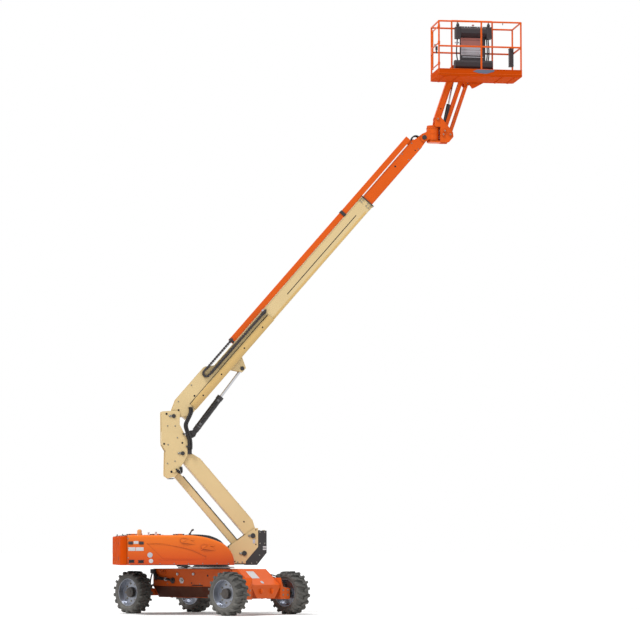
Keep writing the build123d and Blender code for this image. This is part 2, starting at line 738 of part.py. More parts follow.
with BuildPart() as cable_chain:
    chain_y = -(base_half_width + 50)
    chain_middle = (1150, 75)
    chain_turn = 68.0
    chain_pitch = 76.0
    with BuildSketch(arm_plane(boom_pivot, boom_angle, chain_y)):
        with Locations(chain_middle):
            Circle(chain_turn + 22)
        with Locations((chain_middle[0] + 450, chain_middle[1] + chain_turn)):
            Rectangle(900, 44)
        with Locations((chain_middle[0] + 930, chain_middle[1] - chain_turn)):
            Rectangle(1860, 44)
        with Locations(chain_middle):
            Circle(chain_turn - 22, mode=Mode.SUBTRACT)
        with Locations((chain_middle[0] + 300, chain_middle[1])):
            Rectangle(600, 2 * chain_turn - 44, mode=Mode.SUBTRACT)
    extrude(amount=25, both=True)
    with BuildSketch(arm_plane(boom_pivot, boom_angle, chain_y - 25 - 1)):
        for count, side in ((11, 1), (23, -1)):
            for link in range(count):
                with Locations((chain_middle[0] + 60 + chain_pitch * link, chain_middle[1] + side * chain_turn)):
                    Rectangle(12, 46)
    extrude(amount=-8, mode=Mode.SUBTRACT)
    with BuildSketch(arm_plane(boom_pivot, boom_angle, chain_y)):
        with Locations((chain_middle[0] + 1810, 0)):
            Rectangle(90, 70)
    extrude(amount=-50)
save(cable_chain.part, "cable_chain")

with BuildPart() as fly_tube:
    middle = (fly_top + fly_bottom) / 2
    depth = fly_top - fly_bottom
    with BuildSketch(arm_plane(boom_pivot, boom_angle)):
        with Locations(((fly_rear + fly_end) / 2, middle)):
            Rectangle(fly_end - fly_rear, depth)
    extrude(amount=fly_half_width, both=True)
    with BuildSketch(arm_plane(boom_pivot, boom_angle)):
        with Locations(((fly_rear + fly_end) / 2, middle)):
            Rectangle(fly_end - fly_rear + 10, depth - 2 * fly_wall)
    extrude(amount=fly_half_width - fly_wall, both=True, mode=Mode.SUBTRACT)
    for side in (-1, 1):
        with BuildSketch(arm_plane(boom_pivot, boom_angle, side * (fly_half_width - 8))):
            with Locations((tip_along, -tip_below)):
                Circle(80)
            Polygon(
                (fly_end - 10, fly_top - 20), (tip_along + 30, -tip_below + 74), (tip_along + 30, -tip_below - 74),
                (fly_end - 10, fly_bottom + 5), align=None,
            )
            with Locations((tip_along, -tip_below)):
                Circle(pin_radius + pin_play, mode=Mode.SUBTRACT)
        extrude(amount=8, both=True)
    with BuildSketch(arm_plane(boom_pivot, boom_angle)):
        with Locations((fly_rear + 60, (base_top - base_wall + fly_top - 0.3) / 2)):
            Rectangle(120, base_top - base_wall - fly_top - 0.3)
        with Locations((fly_rear + 60, (base_bottom + base_wall + fly_bottom + 0.3) / 2)):
            Rectangle(120, fly_bottom - 0.3 - base_bottom - base_wall)
    extrude(amount=fly_half_width, both=True)
save(fly_tube.part, "fly_tube")

with BuildPart() as push_tube:
    push_y = -70.0
    push_half = 50.0
    with BuildSketch(arm_plane(boom_pivot, boom_angle, push_y)):
        with Locations(((push_rear + push_end) / 2, (push_bottom + push_top) / 2)):
            Rectangle(push_end - push_rear, push_top - push_bottom)
    extrude(amount=push_half, both=True)
    with BuildSketch(arm_plane(boom_pivot, boom_angle, push_y)):
        with Locations(((push_rear + push_end) / 2, (push_bottom + push_top) / 2)):
            Rectangle(push_end - push_rear + 2, push_top - push_bottom - 12)
    extrude(amount=push_half - 6, both=True, mode=Mode.SUBTRACT)
    with BuildSketch(arm_plane(boom_pivot, boom_angle, push_y)):
        with Locations((push_end - 60, (push_bottom + fly_top) / 2)):
            Rectangle(100, push_bottom - fly_top)
    extrude(amount=30, both=True)
save(push_tube.part, "push_tube")

# ---------------------------------------------------------------- lift cylinder
lift_angle = math.degrees(math.atan2(lug[1] - lift_foot[1], lug[0] - lift_foot[0]))
lift_reach = math.hypot(lug[0] - lift_foot[0], lug[1] - lift_foot[1])
barrel_length = 990.0
with BuildPart() as lift_barrel:
    bore = 50.0
    with BuildSketch(arm_plane(lift_foot, lift_angle)):
        Rectangle(160, 110)
        with Locations((-20, 0)):
            Circle(55)
        Circle(pin_radius + pin_play, mode=Mode.SUBTRACT)
    extrude(amount=55, both=True)
    tube = Plane(origin=arm_plane(lift_foot, lift_angle).from_local_coords((75, 0, 0)),
                 z_dir=arm_plane(lift_foot, lift_angle).x_dir)
    with BuildSketch(tube):
        Circle(lift_tube)
    extrude(amount=barrel_length - 75)
    with BuildSketch(tube.offset(barrel_length - 75 - 85)):
        Circle(lift_tube + 8)
    extrude(amount=85)
    with BuildSketch(tube.offset(40)):
        Circle(bore)
    extrude(amount=barrel_length, mode=Mode.SUBTRACT)
save(lift_barrel.part, "lift_barrel")

with BuildPart() as lift_rod:
    rod_radius = 32.0
    with BuildSketch(tube.offset(barrel_length - 75 - 330)):
        Circle(bore - 0.05)
    extrude(amount=60)
    with BuildSketch(tube.offset(barrel_length - 75 - 330)):
        Circle(rod_radius)
    extrude(amount=lift_reach - 75 - (barrel_length - 75 - 330))
    with BuildSketch(arm_plane(lug, lift_angle)):
        Circle(45)
    extrude(amount=55, both=True)
save(lift_rod.part, "lift_rod")

# ---------------------------------------------------------------- nose and jib mount
nose_cheek = 118.0
with BuildPart() as boom_nose:
    for side in (-1, 1):
        with BuildSketch(side_plane(side * nose_cheek)):
            with Locations(tip):
                Circle(95)
            Polygon(
                (tip[0] - 60, tip[1] + 75), (slew_axis - 60, slew_top - 60), (slew_axis + 20, slew_top - 60),
                (slew_axis + 20, slew_bottom + 60), (tip[0] + 80, tip[1] - 51), align=None,
            )
        extrude(amount=8, both=True)
    with BuildSketch(side_plane()):
        with Locations(tip):
            Circle(pin_radius)
    extrude(amount=nose_cheek + 20, both=True)
    with BuildSketch(level_plane(slew_axis, 0, slew_bottom)):
        Circle(slew_radius)
        Circle(60 + pin_play, mode=Mode.SUBTRACT)
    extrude(amount=slew_top - slew_bottom)
save(boom_nose.part, "boom_nose")

jib_cheek = 142.0
jib_arm_inner = 54.0
jib_arm_outer = 66.0
jib_arm_half = 70.0
jib_web = 8.0
bar_y = 81.0
rod_y = 115.0
bar_foot = shifted(jib_foot, bar_offset)
rod_foot = shifted(jib_foot, rod_offset)
with BuildPart() as jib_mount:
    with BuildSketch(level_plane(slew_axis, 0, slew_bottom - 40)):
        Circle(60)
    extrude(amount=slew_top - slew_bottom + 80)
    for low, high in ((slew_bottom - 40, slew_bottom - 6), (slew_top + 6, slew_top + 40)):
        with BuildSketch(level_plane(slew_axis, 0, low)):
            Circle(130)
            Polygon(
                (0, -124), (133, -124), (146, -150), (160, -150), (160, 150), (146, 150), (133, 124), (0, 124),
                align=None,
            )
        extrude(amount=high - low)
    with BuildSketch(level_plane(slew_axis + slew_radius + 14, 0, slew_bottom - 40)):
        Rectangle(16, 2 * jib_cheek + 16)
    extrude(amount=slew_top - slew_bottom + 80)
    for side in (-1, 1):
        with BuildSketch(side_plane(side * jib_cheek)):
            Polygon(
                (slew_axis + 155, slew_bottom - 40), (slew_axis + 155, slew_top + 6), (slew_axis + 20, slew_top + 6),
                (slew_axis + 20, slew_top + 60), shifted(jib_foot, (-40, 60)), shifted(jib_foot, (60, 60)),
                (rod_foot[0] + 60, rod_foot[1] + 50), (rod_foot[0] + 70, rod_foot[1] - 50),
                (rod_foot[0] - 30, slew_bottom - 40), align=None,
            )
        extrude(amount=8, both=True)
    with BuildSketch(side_plane()):
        with Locations(jib_foot, jib_cylinder_foot):
            Circle(25)
    extrude(amount=jib_cheek + 18, both=True)
    for side in (-1, 1):
        with BuildSketch(side_plane(side * (bar_y - 12))):
            with Locations(bar_foot):
                Circle(20)
        extrude(amount=-side * 29.5)
        with BuildSketch(side_plane(side * (rod_y - 18))):
            with Locations(rod_foot):
                Circle(20)
        extrude(amount=-side * (jib_cheek + 18 - rod_y + 18))
        with BuildSketch(side_plane(side * 95.5)):
            with Locations(bar_foot):
                Circle(38)
            Polygon(
                (slew_axis + 150, bar_foot[1] - 80), (slew_axis + 150, bar_foot[1] + 60), shifted(bar_foot, (0, 38)),
                (bar_foot[0] + 38, bar_foot[1] - 10), (bar_foot[0], bar_foot[1] - 60), align=None,
            )
        extrude(amount=3, both=True)
save(jib_mount.part, "jib_mount")

with BuildPart() as jib_arm:
    for side in (-1, 1):
        with BuildSketch(arm_plane(jib_foot, jib_angle, side * (jib_arm_inner + jib_arm_outer) / 2)):
            with Locations((jib_length / 2, 0)):
                Rectangle(jib_length, 2 * jib_arm_half)
            with Locations((0, 0), (jib_length, 0)):
                Circle(jib_arm_half)
                Circle(25 + pin_play, mode=Mode.SUBTRACT)
        extrude(amount=(jib_arm_outer - jib_arm_inner) / 2, both=True)
    with BuildSketch(arm_plane(jib_foot, jib_angle)):
        with Locations((jib_length / 2, jib_arm_half - jib_web / 2)):
            Rectangle(jib_length - 60, jib_web)
    extrude(amount=jib_arm_inner, both=True)
save(jib_arm.part, "jib_arm")

for name, offset, across, size, hole in (
    ("jib_bars", bar_offset, bar_y, 76.0, 20.0),
    ("jib_rods", rod_offset, rod_y, 52.0, 20.0),
):
    start = shifted(jib_foot, offset)
    with BuildPart() as pair:
        for side in (-1, 1):
            with BuildSketch(arm_plane(start, jib_angle, side * across)):
                with Locations((jib_length / 2, 0)):
                    Rectangle(jib_length, size)
                with Locations((0, 0), (jib_length, 0)):
                    Circle(size / 2)
                    Circle(hole + pin_play, mode=Mode.SUBTRACT)
            extrude(amount=9 if across == bar_y else 14, both=True)
    save(pair.part, name)

jib_lift_angle = math.degrees(math.atan2(jib_eye[1] - jib_cylinder_foot[1], jib_eye[0] - jib_cylinder_foot[0]))
jib_lift_reach = math.hypot(jib_eye[0] - jib_cylinder_foot[0], jib_eye[1] - jib_cylinder_foot[1])
jib_barrel_length = 700.0
jib_tube = Plane(origin=arm_plane(jib_cylinder_foot, jib_lift_angle).from_local_coords((40, 0, 0)),
                 z_dir=arm_plane(jib_cylinder_foot, jib_lift_angle).x_dir)
with BuildPart() as jib_barrel:
    with BuildSketch(arm_plane(jib_cylinder_foot, jib_lift_angle)):
        with Locations((20, 0)):
            Rectangle(60, 70)
        Circle(40)
        Circle(25 + pin_play, mode=Mode.SUBTRACT)
    extrude(amount=35, both=True)
    with BuildSketch(jib_tube):
        Circle(42)
    extrude(amount=jib_barrel_length - 40)
    with BuildSketch(jib_tube.offset(30)):
        Circle(30)
    extrude(amount=jib_barrel_length, mode=Mode.SUBTRACT)
save(jib_barrel.part, "jib_barrel")

with BuildPart() as jib_piston_rod:
    start = jib_barrel_length - 40 - 60
    with BuildSketch(jib_tube.offset(start)):
        Circle(30 - 0.05)
    extrude(amount=40)
    with BuildSketch(jib_tube.offset(start)):
        Circle(18)
    extrude(amount=jib_lift_reach - 40 - start)
    with BuildSketch(arm_plane(jib_eye, jib_lift_angle)):
        Circle(32)
    extrude(amount=35, both=True)
save(jib_piston_rod.part, "jib_piston_rod")

# ---------------------------------------------------------------- platform support and platform
bar_head = shifted(jib_head, bar_offset)
rod_head = shifted(jib_head, rod_offset)
with BuildPart() as platform_support:
    for side in (-1, 1):
        with BuildSketch(side_plane(side * jib_cheek)):
            Polygon(
                (jib_head[0] - 60, jib_head[1] - 50), (jib_head[0] - 60, jib_head[1] + 55),
                (jib_head[0] + 80, jib_head[1] + 55), (rotator_x - 150, rotator_top), (rotator_x + 60, rotator_top),
                (rotator_x + 60, rotator_bottom), (rod_head[0] + 55, rotator_bottom),
                (rod_head[0] + 45, rod_head[1] - 45), (rod_head[0] - 50, rod_head[1] - 45), align=None,
            )
        extrude(amount=8, both=True)
    with BuildSketch(side_plane()):
        with Locations(jib_head):
            Circle(25)
    extrude(amount=jib_cheek + 18, both=True)
    for side in (-1, 1):
        with BuildSketch(side_plane(side * (bar_y - 12))):
            with Locations(bar_head):
                Circle(20)
        extrude(amount=-side * 29.5)
        with BuildSketch(side_plane(side * (rod_y - 18))):
            with Locations(rod_head):
                Circle(20)
        extrude(amount=-side * (jib_cheek + 18 - rod_y + 18))
        with BuildSketch(side_plane(side * 95.5)):
            with Locations(bar_head):
                Circle(38)
            Polygon(
                shifted(bar_head, (-30, 25)), (rotator_x - 90, rotator_bottom + 200),
                (rotator_x - 60, rotator_bottom + 60),
                (bar_head[0] + 10, bar_head[1] - 36), align=None,
            )
        extrude(amount=3, both=True)
    with BuildSketch(level_plane(rotator_x, 0, rotator_bottom)):
        Circle(rotator_radius)
        Rectangle(60, 2 * jib_cheek)
        Circle(40 + pin_play, mode=Mode.SUBTRACT)
    extrude(amount=rotator_top - rotator_bottom)
save(platform_support.part, "platform_support")

inner_side = platform_y + platform_width / 2
with BuildPart() as platform_mount:
    with BuildSketch(level_plane(rotator_x, 0, rotator_bottom - 26)):
        Circle(40)
    extrude(amount=rotator_top - rotator_bottom + 52)
    for low in (rotator_bottom - 26, rotator_top + 6):
        with BuildSketch(level_plane(rotator_x, 0, low)):
            Circle(100)
            with Locations((0, (inner_side + 10) / 2)):
                Rectangle(200, abs(inner_side + 10))
        extrude(amount=20)
    with BuildSketch(level_plane(rotator_x, inner_side + 6, platform_bottom)):
        Rectangle(300, 11.4)
    extrude(amount=620)
    with BuildSketch(side_plane(inner_side + 6)):
        Polygon(
            (platform_x - 90, platform_bottom + 1), (platform_x + 260, platform_bottom + 1),
            (platform_x + 60, platform_bottom - 110), (platform_x, platform_bottom - 132), align=None,
        )
    extrude(amount=5.7, both=True)
save(platform_mount.part, "platform_mount")

with BuildPart() as platform_floor:
    with BuildSketch(level_plane(platform_x, platform_y, platform_bottom)):
        Rectangle(platform_length, platform_width)
    extrude(amount=toe_height)
    with BuildSketch(level_plane(platform_x, platform_y, platform_bottom + floor_thick)):
        Rectangle(platform_length - 12, platform_width - 12)
    extrude(amount=toe_height, mode=Mode.SUBTRACT)
save(platform_floor.part, "platform_floor")

half_long = platform_length / 2 - rail_radius
half_wide = platform_width / 2 - rail_radius
rail_top = platform_bottom + platform_height - rail_radius
rail_middle = platform_bottom + 640.0
post_foot = platform_bottom + toe_height
posts = (
    (-half_long, -half_wide), (half_long, -half_wide), (half_long, half_wide), (-half_long, half_wide),
    (30, -half_wide), (-450, half_wide), (450, half_wide),
)
with BuildPart() as platform_rails:
    for x, y in posts:
        with BuildSketch(level_plane(platform_x + x, platform_y + y, post_foot)):
            Circle(rail_radius)
        extrude(amount=rail_top - post_foot)
    for z in (rail_top, rail_middle):
        for side in (-1, 1):
            start = (swing_x + platform_x - half_long, platform_y + side * half_wide, z)
            with BuildSketch(Plane(origin=start, z_dir=(1, 0, 0))):
                Circle(rail_radius)
            extrude(amount=2 * half_long)
        end = Plane(origin=(swing_x + platform_x + half_long, platform_y - half_wide, z), z_dir=(0, 1, 0))
        with BuildSketch(end):
            Circle(rail_radius)
        extrude(amount=2 * half_wide)
    gate_rail = (swing_x + platform_x - half_long, platform_y - half_wide, rail_top)
    with BuildSketch(Plane(origin=gate_rail, z_dir=(0, 1, 0))):
        Circle(rail_radius)
    extrude(amount=2 * half_wide)
    with BuildSketch(level_plane(platform_x - half_long, platform_y + half_wide - 65, rail_middle - 60)):
        Rectangle(30, 110)
    extrude(amount=160)
    for x in (-450, 450):
        with BuildSketch(level_plane(platform_x + x, platform_y + half_wide, rail_top)):
            Circle(rail_radius)
        extrude(amount=170)
    guard_rail = (swing_x + platform_x - 450, platform_y + half_wide, rail_top + 170)
    with BuildSketch(Plane(origin=guard_rail, z_dir=(1, 0, 0))):
        Circle(rail_radius)
    extrude(amount=900)
save(platform_rails.part, "platform_rails")

gate_x = platform_x - half_long
gate_far = half_wide - rail_radius - 130
with BuildPart() as platform_gate:
    for z in (post_foot + 110, post_foot + 560, rail_top - 110):
        with BuildSketch(Plane(origin=(swing_x + gate_x, platform_y - half_wide + 22, z), z_dir=(0, 1, 0))):
            Circle(14)
        extrude(amount=gate_far + half_wide - 22)
        with BuildSketch(level_plane(gate_x, platform_y - half_wide, z - 30)):
            Circle(rail_radius + 8)
            Circle(rail_radius + pin_play, mode=Mode.SUBTRACT)
        extrude(amount=60)
    with BuildSketch(level_plane(gate_x, platform_y + gate_far, post_foot + 80)):
        Circle(16)
    extrude(amount=rail_top - 80 - post_foot - 80)
save(platform_gate.part, "platform_gate")

console_y = platform_y + half_wide - rail_radius
with BuildPart() as control_console:
    box_start = (swing_x + platform_x - 350, console_y, rail_top)
    with BuildSketch(Plane(origin=box_start, x_dir=(0, 1, 0), z_dir=(1, 0, 0))):
        Polygon((-0.3, -200), (-0.3, 20), (-60, 40), (-200.3, -40), (-200.3, -130), (-150, -200), align=None)
    extrude(amount=700)
    for x in (-340, 340):
        with BuildSketch(level_plane(platform_x + x, console_y - 105.3, rail_top - 240)):
            RectangleRounded(120, 210, 30)
        extrude(amount=250)
        with BuildSketch(level_plane(platform_x + x, console_y - 110, rail_top)):
            Circle(26)
        extrude(amount=40)
        with BuildSketch(level_plane(platform_x + x, console_y - 110, rail_top + 40)):
            Circle(11)
        extrude(amount=110)
    with BuildSketch(level_plane(platform_x, console_y - 40, post_foot + 300)):
        Rectangle(560, 60)
    extrude(amount=rail_top - 190 - post_foot - 300)
    roll_start = (swing_x + platform_x - 415, console_y, post_foot + 215)
    with BuildSketch(Plane(origin=roll_start, x_dir=(0, 1, 0), z_dir=(1, 0, 0))):
        with Locations((-105.3, 0)):
            RectangleRounded(210, 190, 60)
    extrude(amount=830)
save(control_console.part, "control_console")

with BuildPart() as tool_box:
    box_x = platform_x + half_long - rail_radius - 45.3
    with BuildSketch(level_plane(box_x, platform_y + half_wide - 155, rail_middle - 300)):
        RectangleRounded(90, 140, 16)
    extrude(amount=400)
save(tool_box.part, "tool_box")

with BuildPart() as foot_switch:
    with BuildSketch(level_plane(platform_x + 230, platform_y + 120, platform_bottom + floor_thick)):
        Rectangle(240, 160)
    extrude(amount=90)
save(foot_switch.part, "foot_switch")
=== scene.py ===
import json
import math
import bmesh
import bpy
from mathutils import Matrix, Vector


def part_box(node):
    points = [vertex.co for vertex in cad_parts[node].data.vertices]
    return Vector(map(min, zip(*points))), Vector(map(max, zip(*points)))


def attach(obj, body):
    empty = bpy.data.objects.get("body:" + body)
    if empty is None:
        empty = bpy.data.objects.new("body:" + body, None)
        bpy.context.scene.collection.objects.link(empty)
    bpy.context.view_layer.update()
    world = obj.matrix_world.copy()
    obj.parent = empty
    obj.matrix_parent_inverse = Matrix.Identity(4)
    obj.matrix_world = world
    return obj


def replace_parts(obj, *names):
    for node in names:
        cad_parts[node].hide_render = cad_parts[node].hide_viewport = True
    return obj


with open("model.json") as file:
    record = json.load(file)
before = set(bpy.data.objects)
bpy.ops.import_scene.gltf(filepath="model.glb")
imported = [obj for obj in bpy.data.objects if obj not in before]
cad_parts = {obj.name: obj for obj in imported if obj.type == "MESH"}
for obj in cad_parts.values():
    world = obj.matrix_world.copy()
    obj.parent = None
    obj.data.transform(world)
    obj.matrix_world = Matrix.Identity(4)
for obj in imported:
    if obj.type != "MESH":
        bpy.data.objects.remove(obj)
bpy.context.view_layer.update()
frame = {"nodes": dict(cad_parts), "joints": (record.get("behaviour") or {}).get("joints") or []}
nodes = frame["nodes"]
joints = {joint["name"]: joint for joint in frame["joints"]}
scene = bpy.context.scene
up = Vector((0, 0, 1))
print("frame loaded:", len(nodes), "nodes")


# places taken from the machine's own joints, in metres
def pivot(name):
    return Vector(joints[name]["pos_m"])


def axisOf(name):
    return Vector(joints[name]["axis"]).normalized()


def seat(origin, zAxis, xAxis):
    # a place whose z points along zAxis and whose x leans to xAxis
    zAxis = Vector(zAxis).normalized()
    yAxis = zAxis.cross(Vector(xAxis)).normalized()
    matrix = Matrix((yAxis.cross(zAxis), yAxis, zAxis)).transposed().to_4x4()
    matrix.translation = Vector(origin)
    return matrix


def armSeat(start, direction):
    # x runs along the arm, y across the machine, z up out of the arm
    direction = Vector(direction).normalized()
    return seat(start, direction.cross(Vector((0, 1, 0))), direction)


def moved(matrix, x=0.0, y=0.0, z=0.0):
    return matrix @ Matrix.Translation((x, y, z))


def turned(matrix, angle, axis):
    return matrix @ Matrix.Rotation(math.radians(angle), 4, axis)


swingAxis = Vector((pivot("swing").x, 0, 0))
leftOfChassis = axisOf("roll_drive_left")
aheadOfChassis = Vector((leftOfChassis.y, -leftOfChassis.x, 0))
chassisSeat = seat(swingAxis, up, aheadOfChassis)
deckSeat = seat(swingAxis, up, (1, 0, 0))
towerSeat = armSeat(pivot("tower_lift"), pivot("upright_level") - pivot("tower_lift"))
boomSeat = armSeat(pivot("boom_lift"), axisOf("telescope"))
liftSeat = armSeat(pivot("lift_barrel_pivot"), axisOf("lift_stroke"))
jibSeat = armSeat(pivot("jib_lift"), pivot("platform_level") - pivot("jib_lift"))
floorLow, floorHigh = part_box("platform_floor")
platformSeat = Matrix.Translation(((floorLow.x + floorHigh.x) / 2, (floorLow.y + floorHigh.y) / 2, floorLow.z))


def placed(name, data):
    # a new object in the scene
    made = bpy.data.objects.new(name, data)
    scene.collection.objects.link(made)
    return made


def settled(holder):
    # the mesh of an object with its modifiers worked out
    graph = bpy.context.evaluated_depsgraph_get()
    return bpy.data.meshes.new_from_object(holder.evaluated_get(graph))


roundness = 0.6  # how full the profile of a bevelled edge is


# mesh helpers: each adds one closed form to the mesh being worked on
def addBox(work, matrix, size, bevel=0.0, segments=2):
    made = bmesh.ops.create_cube(work, size=1.0, matrix=matrix @ Matrix.Diagonal((*size, 1)))
    if bevel:
        edges = list({edge for vert in made["verts"] for edge in vert.link_edges})
        bmesh.ops.bevel(work, geom=edges, offset=bevel, segments=segments, affect="EDGES", profile=roundness)


def addPrism(work, matrix, outline, depth, bevel=0.0):
    # outline in the matrix's x and y, depth centred on its z
    ends = []
    for height in (-depth / 2, depth / 2):
        ends.append([work.verts.new(matrix @ Vector((x, y, height))) for x, y in outline])
    caps = [work.faces.new(ends[0]), work.faces.new(ends[1])]
    for place in range(len(outline)):
        after = (place + 1) % len(outline)
        work.faces.new((ends[0][place], ends[0][after], ends[1][after], ends[1][place]))
    if bevel:
        edges = list({edge for cap in caps for edge in cap.edges})
        bmesh.ops.bevel(work, geom=edges, offset=bevel, segments=2, affect="EDGES", profile=roundness)


def addLathe(work, matrix, profile, steps=32, closed=False):
    # profile of (radius, height) turned round the matrix's z
    rings = []
    for radius, height in profile:
        turns = steps if radius > 1e-6 else 1
        ring = []
        for step in range(turns):
            angle = math.tau * step / turns
            ring.append(work.verts.new(matrix @ Vector((radius * math.cos(angle), radius * math.sin(angle), height))))
        rings.append(ring)
    pairs = list(zip(rings, rings[1:]))
    if closed:
        pairs.append((rings[-1], rings[0]))
    for low, high in pairs:
        for step in range(steps):
            after = step + 1
            corners = (low[step % len(low)], low[after % len(low)], high[after % len(high)], high[step % len(high)])
            corners = list(dict.fromkeys(corners))
            if len(corners) > 2:
                work.faces.new(corners)


def addRod(work, start, end, radius, steps=16):
    direction = Vector(end) - Vector(start)
    length = direction.length
    side = (0, 0, 1) if abs(direction.normalized().z) < 0.9 else (1, 0, 0)
    edge = radius * 0.08
    rise = length - edge
    profile = ((0, 0), (radius - edge, 0), (radius, edge), (radius, rise), (radius - edge, length), (0, length))
    addLathe(work, seat(start, direction, side), profile, steps)


def addLoft(work, rings):
    # a skin through rings of points, closed at both ends
    rings = [[work.verts.new(place) for place in ring] for ring in rings]
    for low, high in zip(rings, rings[1:]):
        for corner in range(len(low)):
            after = (corner + 1) % len(low)
            work.faces.new((low[corner], low[after], high[after], high[corner]))
    work.faces.new(rings[0])
    work.faces.new(rings[-1])


def addHose(work, points, radius, sides=4):
    # a hose that follows a smooth curve through its guide points
    curve = bpy.data.curves.new("hoseLine", "CURVE")
    curve.dimensions = "3D"
    line = curve.splines.new("NURBS")
    line.points.add(len(points) - 1)
    for place, point in enumerate(points):
        line.points[place].co = (*point, 1)
    line.order_u = 3
    line.use_endpoint_u = True
    line.resolution_u = 6
    curve.bevel_depth = radius
    curve.bevel_resolution = sides
    curve.use_fill_caps = True
    holder = placed("hoseLine", curve)
    work.from_mesh(settled(holder))
    bpy.data.objects.remove(holder)


def keep(name, mesh, body, finish, smooth=35, slotName=None):
    # a named piece in the given finish that rides a body; the slot name is worked out but not used
    slotName = slotName or slotOf[finish]
    mesh.materials.clear()
    mesh.materials.append(finishes[finish])
    mesh.polygons.foreach_set("use_smooth", [True] * len(mesh.polygons))
    mesh.set_sharp_from_angle(angle=math.radians(smooth))
    piece = placed(name, mesh)
    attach(piece, body)
    return piece


def meshFrom(name, work):
    bmesh.ops.recalc_face_normals(work, faces=work.faces)
    mesh = bpy.data.meshes.new(name)
    work.to_mesh(mesh)
    work.free()
    return mesh


def keepWork(name, work, body, finish, smooth=35):
    return keep(name, meshFrom(name, work), body, finish, smooth)


# Geometry Nodes: copies of one piece round an axis, on marked spots, or along a path
def node(tree, kind, given=None, **values):
    # a new node with its settings, and with the numbers given for its inputs
    made = tree.nodes.new(kind)
    for key, value in values.items():
        setattr(made, key, value)
    for socket, value in (given or {}).items():
        made.inputs[socket].default_value = value
    return made


def join(tree, *rows):
    # each row names a node and its output, then a node and its input
    for start, output, end, entry in rows:
        tree.links.new(start.outputs[output], end.inputs[entry])


def copyTree(name, inputs):
    tree = bpy.data.node_groups.new(name, "GeometryNodeTree")
    for label, kind in (("Piece", "Geometry"), *inputs, ("Finish", "Material")):
        tree.interface.new_socket(label, in_out="INPUT", socket_type="NodeSocket" + kind)
    tree.interface.new_socket("Copies", in_out="OUTPUT", socket_type="NodeSocketGeometry")
    entry = node(tree, "NodeGroupInput")
    leave = node(tree, "NodeGroupOutput")
    onPoints = node(tree, "GeometryNodeInstanceOnPoints")
    realize = node(tree, "GeometryNodeRealizeInstances")
    paint = node(tree, "GeometryNodeSetMaterial")
    join(
        tree, (entry, "Piece", onPoints, "Instance"), (onPoints, "Instances", realize, "Geometry"),
        (realize, "Geometry", paint, "Geometry"), (entry, "Finish", paint, "Material"),
        (paint, "Geometry", leave, "Copies"),
    )
    return tree, entry, onPoints


def ringTree():
    tree, entry, onPoints = copyTree("copiesRoundAxis", (("Count", "Int"), ("First Angle", "Float")))
    points = node(tree, "GeometryNodePoints")
    index = node(tree, "GeometryNodeInputIndex")
    step = node(tree, "ShaderNodeMath", {0: math.tau}, operation="DIVIDE")
    angle = node(tree, "ShaderNodeMath", operation="MULTIPLY_ADD")
    spin = node(tree, "ShaderNodeCombineXYZ")
    join(
        tree, (entry, "Count", points, "Count"), (entry, "Count", step, 1), (index, 0, angle, 0), (step, 0, angle, 1),
        (entry, "First Angle", angle, 2), (angle, 0, spin, "Z"), (points, 0, onPoints, "Points"),
        (spin, 0, onPoints, "Rotation"),
    )
    return tree


def spotTree():
    tree, entry, onPoints = copyTree("copiesOnSpots", (("Spots", "Object"),))
    spots = node(tree, "GeometryNodeObjectInfo")
    turn = node(tree, "GeometryNodeInputNamedAttribute", {"Name": "turn"}, data_type="FLOAT_VECTOR")
    join(
        tree, (entry, "Spots", spots, "Object"), (spots, "Geometry", onPoints, "Points"),
        (turn, 0, onPoints, "Rotation"),
    )
    return tree


def pathTree():
    tree, entry, onPoints = copyTree("copiesAlongPath", (("Path", "Object"), ("Spacing", "Float")))
    path = node(tree, "GeometryNodeObjectInfo")
    points = node(tree, "GeometryNodeCurveToPoints", mode="LENGTH")
    align = node(tree, "FunctionNodeAlignRotationToVector", axis="X", pivot_axis="Z")
    join(
        tree, (entry, "Path", path, "Object"), (entry, "Spacing", points, "Length"),
        (path, "Geometry", points, "Curve"), (points, "Tangent", align, "Vector"),
        (points, "Points", onPoints, "Points"), (align, 0, onPoints, "Rotation"),
    )
    return tree


trees = {"ring": ringTree(), "spots": spotTree(), "path": pathTree()}


def copies(kind, work, finish, **values):
    # the piece in work, copied by one of the trees, as one plain mesh
    holder = placed("copiedPiece", meshFrom("copiedPiece", work))
    modifier = holder.modifiers.new("copies", "NODES")
    modifier.node_group = trees[kind]
    values["Finish"] = finishes[finish]
    for socket in trees[kind].interface.items_tree:
        label = socket.name.replace(" ", "")
        if socket.in_out == "INPUT" and label in values:
            modifier[socket.identifier] = values[label]
    holder.update_tag()
    mesh = settled(holder)
    holder.modifiers.remove(modifier)
    bpy.data.objects.remove(holder)
    return mesh


def spotsObject(places):
    mesh = bpy.data.meshes.new("spots")
    mesh.from_pydata([place.translation for place in places], [], [])
    turn = mesh.attributes.new("turn", "FLOAT_VECTOR", "POINT")
    for spot, place in enumerate(places):
        turn.data[spot].vector = place.to_euler()
    return placed("spots", mesh)


def onSpots(name, work, places, body, finish):
    spots = spotsObject(places)
    mesh = copies("spots", work, finish, Spots=spots)
    bpy.data.objects.remove(spots)
    return keep(name, mesh, body, finish)


# values of the shared shader groups below, each of which gives colours, masks or normals only
maskValues = {
    "broadDetail": 4, "fineDetail": 3, "dustDetail": 5, "bevelSamples": 4,
    "edge": {"From Min": 0.985, "From Max": 0.8},  # how far the softened normal leans before paint rubs thin
    "patch": {"From Min": 0.5, "From Max": 0.62},  # which part of the noise shows as rubbed
}


